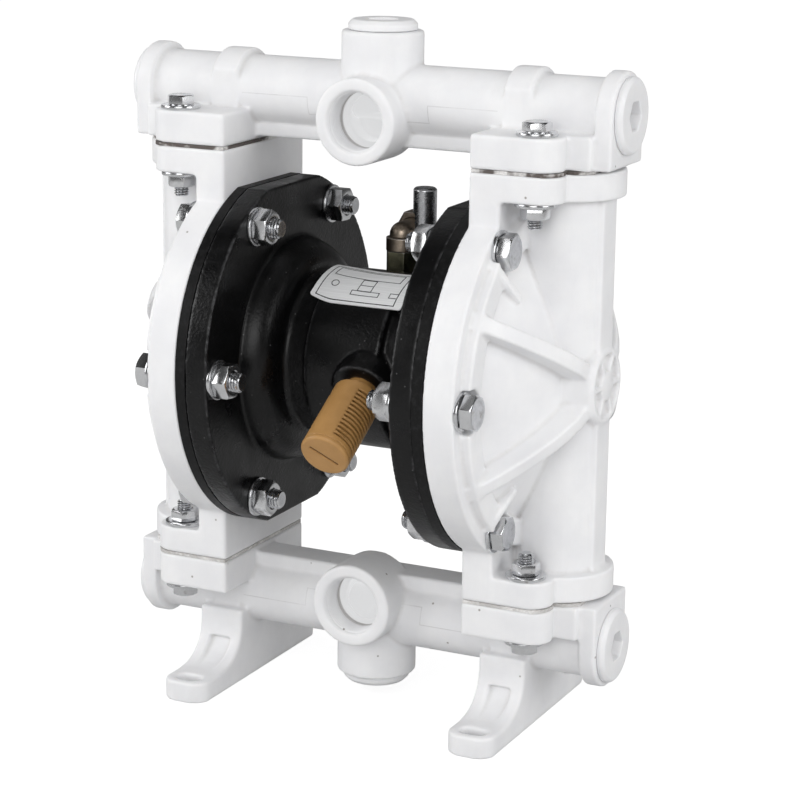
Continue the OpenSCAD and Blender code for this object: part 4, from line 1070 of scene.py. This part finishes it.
class PUMP_OT_stage(bpy.types.Operator):
    """Sets the floor, the soft lamps and the camera"""

    bl_idname = "pump.stage"
    bl_label = "Stage"

    def execute(self, context):
        scene, look = context.scene, context.scene.pump_stage
        mesh = bpy.data.meshes.new("floor")
        corners = [(x * FLOOR, y * FLOOR, 0) for x, y in ((-1, -1), (1, -1), (1, 1), (-1, 1))]
        mesh.from_pydata(corners, [], [(0, 1, 2, 3)])
        mesh.materials.append(floor_finish())
        in_scene("floor", mesh)
        scene.world = studio()
        scene.view_settings.view_transform = "Standard"

        back = direction(look.azimuth, look.elevation)
        right = np.array([math.cos(look.azimuth), math.sin(look.azimuth), 0])
        above = np.cross(back, right)
        spot = MIDDLE + right * AIM_RIGHT - above * AIM_DOWN + back * look.distance
        c, s = math.cos(look.roll), math.sin(look.roll)
        camera = in_scene("camera", bpy.data.cameras.new("camera"))
        camera.data.sensor_width = SENSOR
        camera.data.lens = look.lens
        camera.data.clip_start, camera.data.clip_end = 0.05, 60
        camera.matrix_world = standing(right * c + above * s, above * c - right * s, back, spot)
        scene.camera = camera

        # Degrees from the front and above the floor, distance, size in metres, power in watts
        lamps = {
            "lamp_left": (-58, 20, 1.1, 0.6, 3.6),
            "lamp_right": (80, 18, 1.2, 0.6, 3.6),
            "lamp_front": (14, 22, 1.3, 0.8, 4.6),
            "lamp_top": (20, 70, 1.1, 0.7, 0.3),
        }
        for name, (azimuth, height, distance, size, power) in lamps.items():
            back = direction(math.radians(azimuth), math.radians(height))
            right = np.cross((0, 0, 1), back)
            right = right / np.linalg.norm(right)
            data = bpy.data.lights.new(name, "AREA")
            data.shape, data.size = "SQUARE", size
            data.energy = power * look.lamp_strength
            in_scene(name, data).matrix_world = standing(
                right, np.cross(back, right), back, MIDDLE + back * distance)
        return {"FINISHED"}


class PUMP_PT_pieces(bpy.types.Panel):
    """Lists the pump's pieces in the sidebar"""

    bl_idname = "PUMP_PT_pieces"
    bl_label = "Pump pieces"
    bl_space_type = "VIEW_3D"
    bl_region_type = "UI"
    bl_category = "Pump"

    def draw(self, context):
        for group in GROUPS:
            part = self.layout.box()
            settings = getattr(context.scene, group)
            for key in settings.bl_rna.properties.keys():
                if key not in ("rna_type", "name"):
                    part.prop(settings, key)
        for operator in OPERATORS:
            self.layout.operator(operator.bl_idname)


GROUPS = {
    "pump_plastic": PlasticLook, "pump_casting": CastingLook, "pump_threads": ThreadSizes,
    "pump_muffler": MufflerLook, "pump_plate": PlateLook, "pump_stage": StageSettings,
}
OPERATORS = (
    PUMP_OT_stage, PUMP_OT_moulded_parts, PUMP_OT_port_threads, PUMP_OT_casting,
    PUMP_OT_fasteners, PUMP_OT_muffler, PUMP_OT_air_inlet, PUMP_OT_nameplate,
    PUMP_OT_other_pieces,
)


def register():
    """Registers the classes and puts the settings on the scene."""
    for kind in (*GROUPS.values(), *OPERATORS, PUMP_PT_pieces):
        bpy.utils.register_class(kind)
    for name, kind in GROUPS.items():
        setattr(bpy.types.Scene, name, PointerProperty(type=kind))


def unregister():
    """Takes the settings and classes away again."""
    for name in GROUPS:
        delattr(bpy.types.Scene, name)
    for kind in reversed((*GROUPS.values(), *OPERATORS, PUMP_PT_pieces)):
        bpy.utils.unregister_class(kind)


def main():
    register()
    bpy.ops.pump.stage()
    bpy.ops.pump.moulded_parts()
    bpy.ops.pump.port_threads()
    bpy.ops.pump.casting()
    bpy.ops.pump.fasteners()
    bpy.ops.pump.muffler()
    bpy.ops.pump.air_inlet()
    bpy.ops.pump.nameplate()
    bpy.ops.pump.other_pieces()


if __name__ == "__main__":
    main()
